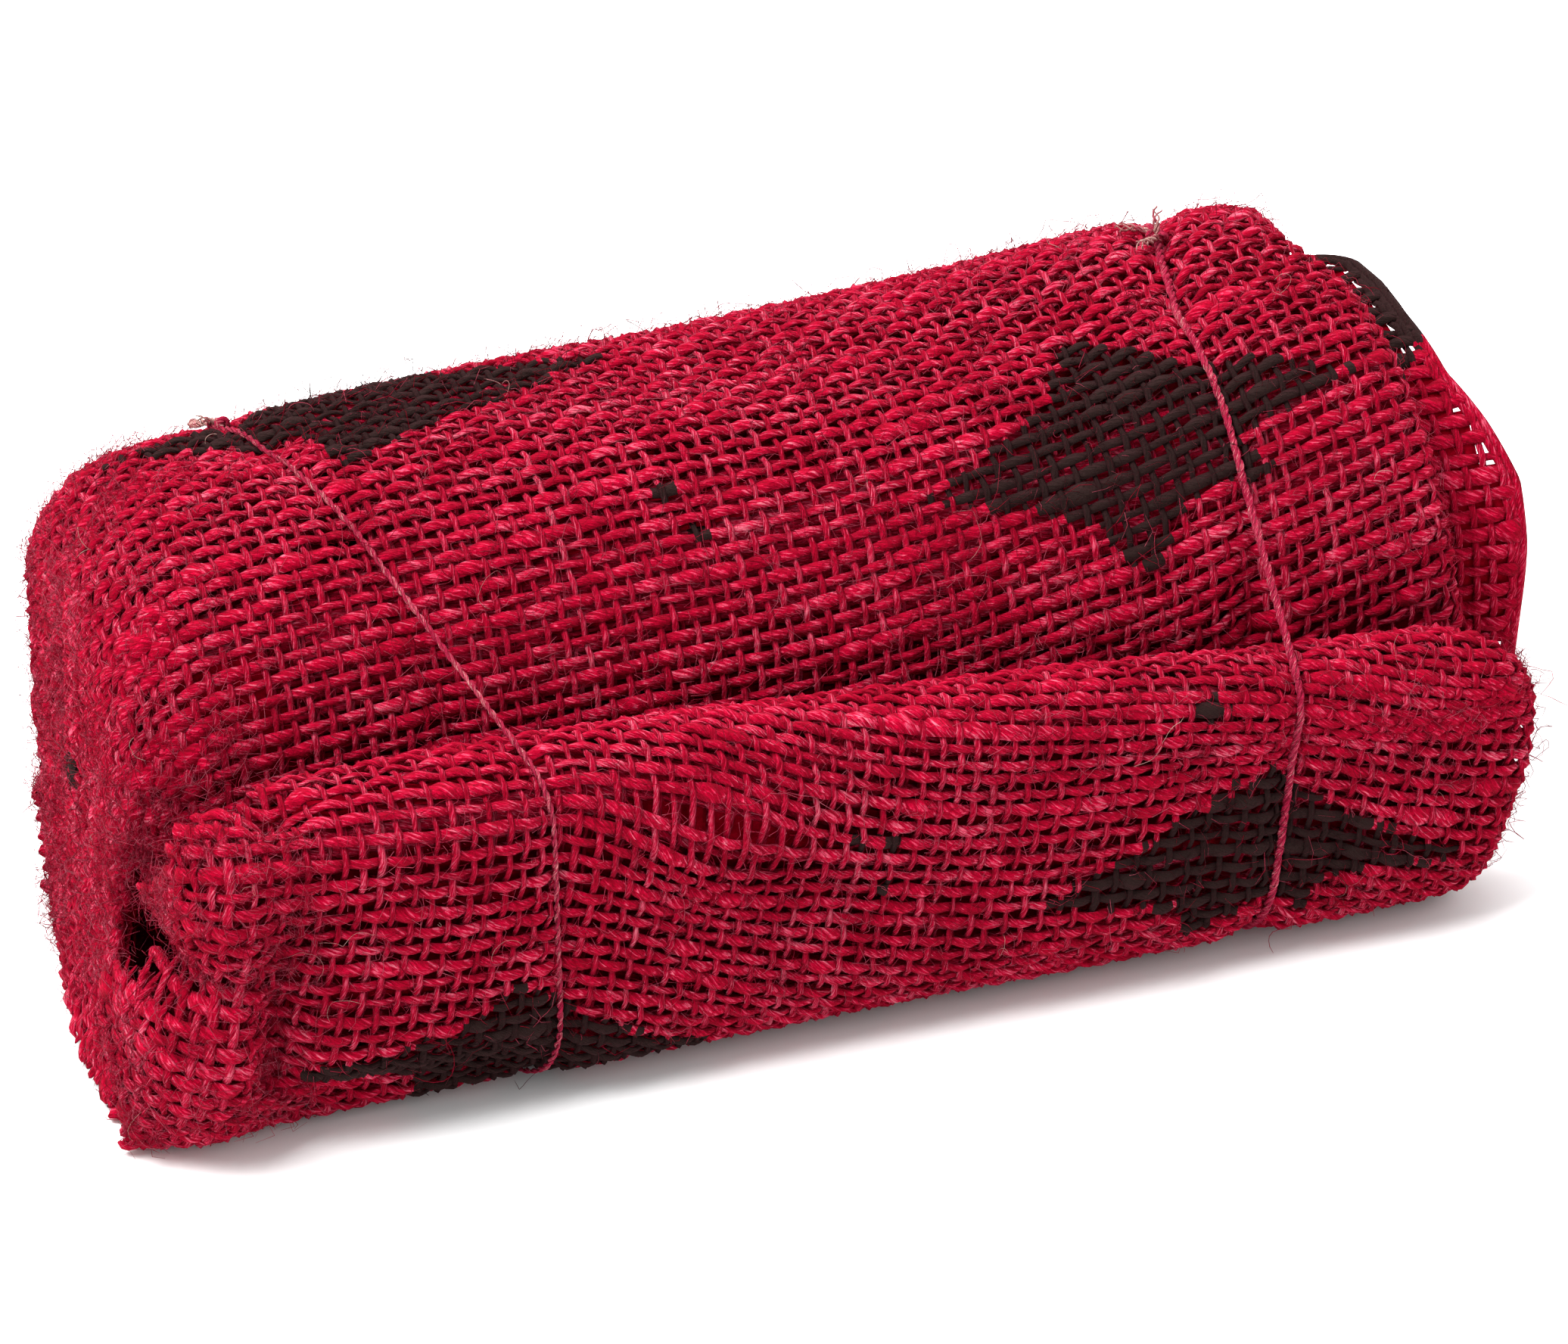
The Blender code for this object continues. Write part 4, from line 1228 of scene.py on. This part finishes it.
def camera_ways():
    """The camera's directions to the right, up and back towards it."""
    back = np.array((np.sin(AZIMUTH) * np.cos(ELEVATION), -np.cos(AZIMUTH) * np.cos(ELEVATION),
                     np.sin(ELEVATION)))
    right = np.array((np.cos(AZIMUTH), np.sin(AZIMUTH), 0.0))
    return right, np.cross(back, right), back


def add_camera():
    right, up, back = camera_ways()
    u = (PICTURE_WIDTH / 2 - ORIGIN_PIXEL[0]) / PIXELS_PER_MM
    v = (ORIGIN_PIXEL[1] - PICTURE_HEIGHT / 2) / PIXELS_PER_MM
    target = MIDDLE + right * u + up * v
    data = bpy.data.cameras.new("camera")
    data.sensor_width = SENSOR
    data.lens = SENSOR * CAMERA_AWAY / (PICTURE_WIDTH / PIXELS_PER_MM)
    data.clip_end = CLIP_END
    camera = linked("camera", data)
    turn = Matrix([list(row) for row in np.array((right, up, back)).T]).to_4x4()
    camera.matrix_world = Matrix.Translation(Vector((target + back * CAMERA_AWAY) * MM)) @ turn
    bpy.context.scene.camera = camera


def add_lights():
    for name, place, size, power in LIGHTS:
        data = bpy.data.lights.new(name, "AREA")
        data.size = size * MM
        data.energy = power
        light = linked(name, data)
        light.location = Vector(place) * MM
        light.rotation_euler = (-Vector(place)).to_track_quat("-Z", "Y").to_euler()
    world = bpy.data.worlds.new("studio_world")
    world.use_nodes = True
    background = world.node_tree.nodes["Background"]
    background.inputs["Color"].default_value = (1.0, 1.0, 1.0, 1.0)
    background.inputs["Strength"].default_value = WORLD_STRENGTH
    bpy.context.scene.world = world
    bpy.context.scene.view_settings.view_transform = "Standard"


def add_floor():
    corners = [(x * FLOOR_HALF, y * FLOOR_HALF, 0) for x, y in ((-1, -1), (1, -1), (1, 1), (-1, 1))]
    mesh = bpy.data.meshes.new("studio_floor")
    mesh.from_pydata(corners, [], [(0, 1, 2, 3)])
    mesh.materials.append(floor_look())
    linked("studio_floor", mesh)


# ---------------------------------------------------------------- putting it together
SEED = 63


def woven(patches, weave, stars, rng, wefts, warps):
    """The wefts and warps of some pieces of cloth."""
    yarns = []
    for patch in patches:
        yarns += weft_yarns(patch, weave, stars, rng, wefts)
        yarns += warp_yarns(patch, weave, stars, rng, warps)
    return yarns


def flap_yarns(flap, weave, rng):
    """The flap's own weave, and the yarns that finish its edge, all darkened as painted shade."""
    yarns = woven((flap,), weave, (FLAP_STAR,), rng, FLAP_WEFTS, FLAP_WARPS)
    s = np.arange(flap.low[0][0] + GRID_STEP, flap.low[0][-1] - GRID_STEP, FLAP_BORDER_STEP)
    size = taper(len(s), WEFT_TAPER)
    width, height = (half * size for half in FLAP_BORDER_SIZE)
    every, amount = FLAP_BORDER_WAVE
    for inset in FLAP_BORDER:
        l = np.interp(s, *flap.high) - inset
        tint = FLAP_BORDER_TINT + amount * wavy(rng, 1, len(s), every)[0]
        dark = printed((FLAP_STAR,), l, s, rng)
        yarns.append(Yarn(*sample(flap, l, s), width, height, dark, tint))
    # painted shade: the flap's yarns keep only part of their tint
    return [yarn._replace(tint=yarn.tint * FLAP_PAINTED_SHADE) for yarn in yarns]


def main():
    rng = np.random.default_rng(SEED)
    strip = Strip()
    weave = Weave(strip)
    add_camera()
    add_lights()
    add_floor()
    red = yarn_look("burlap_yarn", YARN_STOPS, YARN_TWIST)
    outer = cloth_patch(strip, *OUTER_PLACES, MOST_LEFT, MOST_RIGHT, "outer")
    laps = [cloth_patch(strip, *LAP_PLACES, *lengths, "lap") for lengths in LAP_LENGTHS]
    flap = cloth_patch(strip, FLAP_PLACES[0], FLAP_PLACES[-1], FLAP_FROM, MOST_RIGHT, "flap")
    under = ply_under(outer, strip)
    lap_yarns = woven(laps, weave, (), rng, LAP_WEFTS, LAP_WARPS)
    yarn_sets = (
        ("wefts", OUTER_WEFTS.sides, weft_yarns(outer, weave, STARS, rng, OUTER_WEFTS)),
        ("warps", OUTER_WARPS.sides, warp_yarns(outer, weave, STARS, rng, OUTER_WARPS)),
        ("under", UNDER_WEFTS.sides, woven((under,), weave, (), rng, UNDER_WEFTS, UNDER_WARPS)),
        ("lap_ends", LAP_WEFTS.sides, lap_yarns),
        ("flap", FLAP_WEFTS.sides, flap_yarns(flap, weave, rng)),
        ("fibres", FIBRE_SIDES, sum((fibres(outer, kind, rng) for kind in RED_FIBRES), [])),
    )
    for kind, sides, yarns in yarn_sets:
        for number, group in enumerate(split(yarns, sides)):
            yarn_mesh(f"bag_{kind}_{number}", group, sides, red)
    pale = yarn_look("pale_jute", TIE_STOPS, TIE_TWIST)
    pale_fibres = fibres(outer, PALE_HAIRS, rng)
    yarn_mesh("bag_pale_fibres", pale_fibres, FIBRE_SIDES, pale)
    plies = [(patch, PLY_INSET) for patch in (outer, *laps)] + [(flap, FLAP_INSET)]
    ply, area = ply_mesh(plies, ply_look())
    for name in TIES:
        tie_piece(name, strip, yarn_look(name + "_jute", TIE_STOPS, TIE_TWIST), rng)


main()
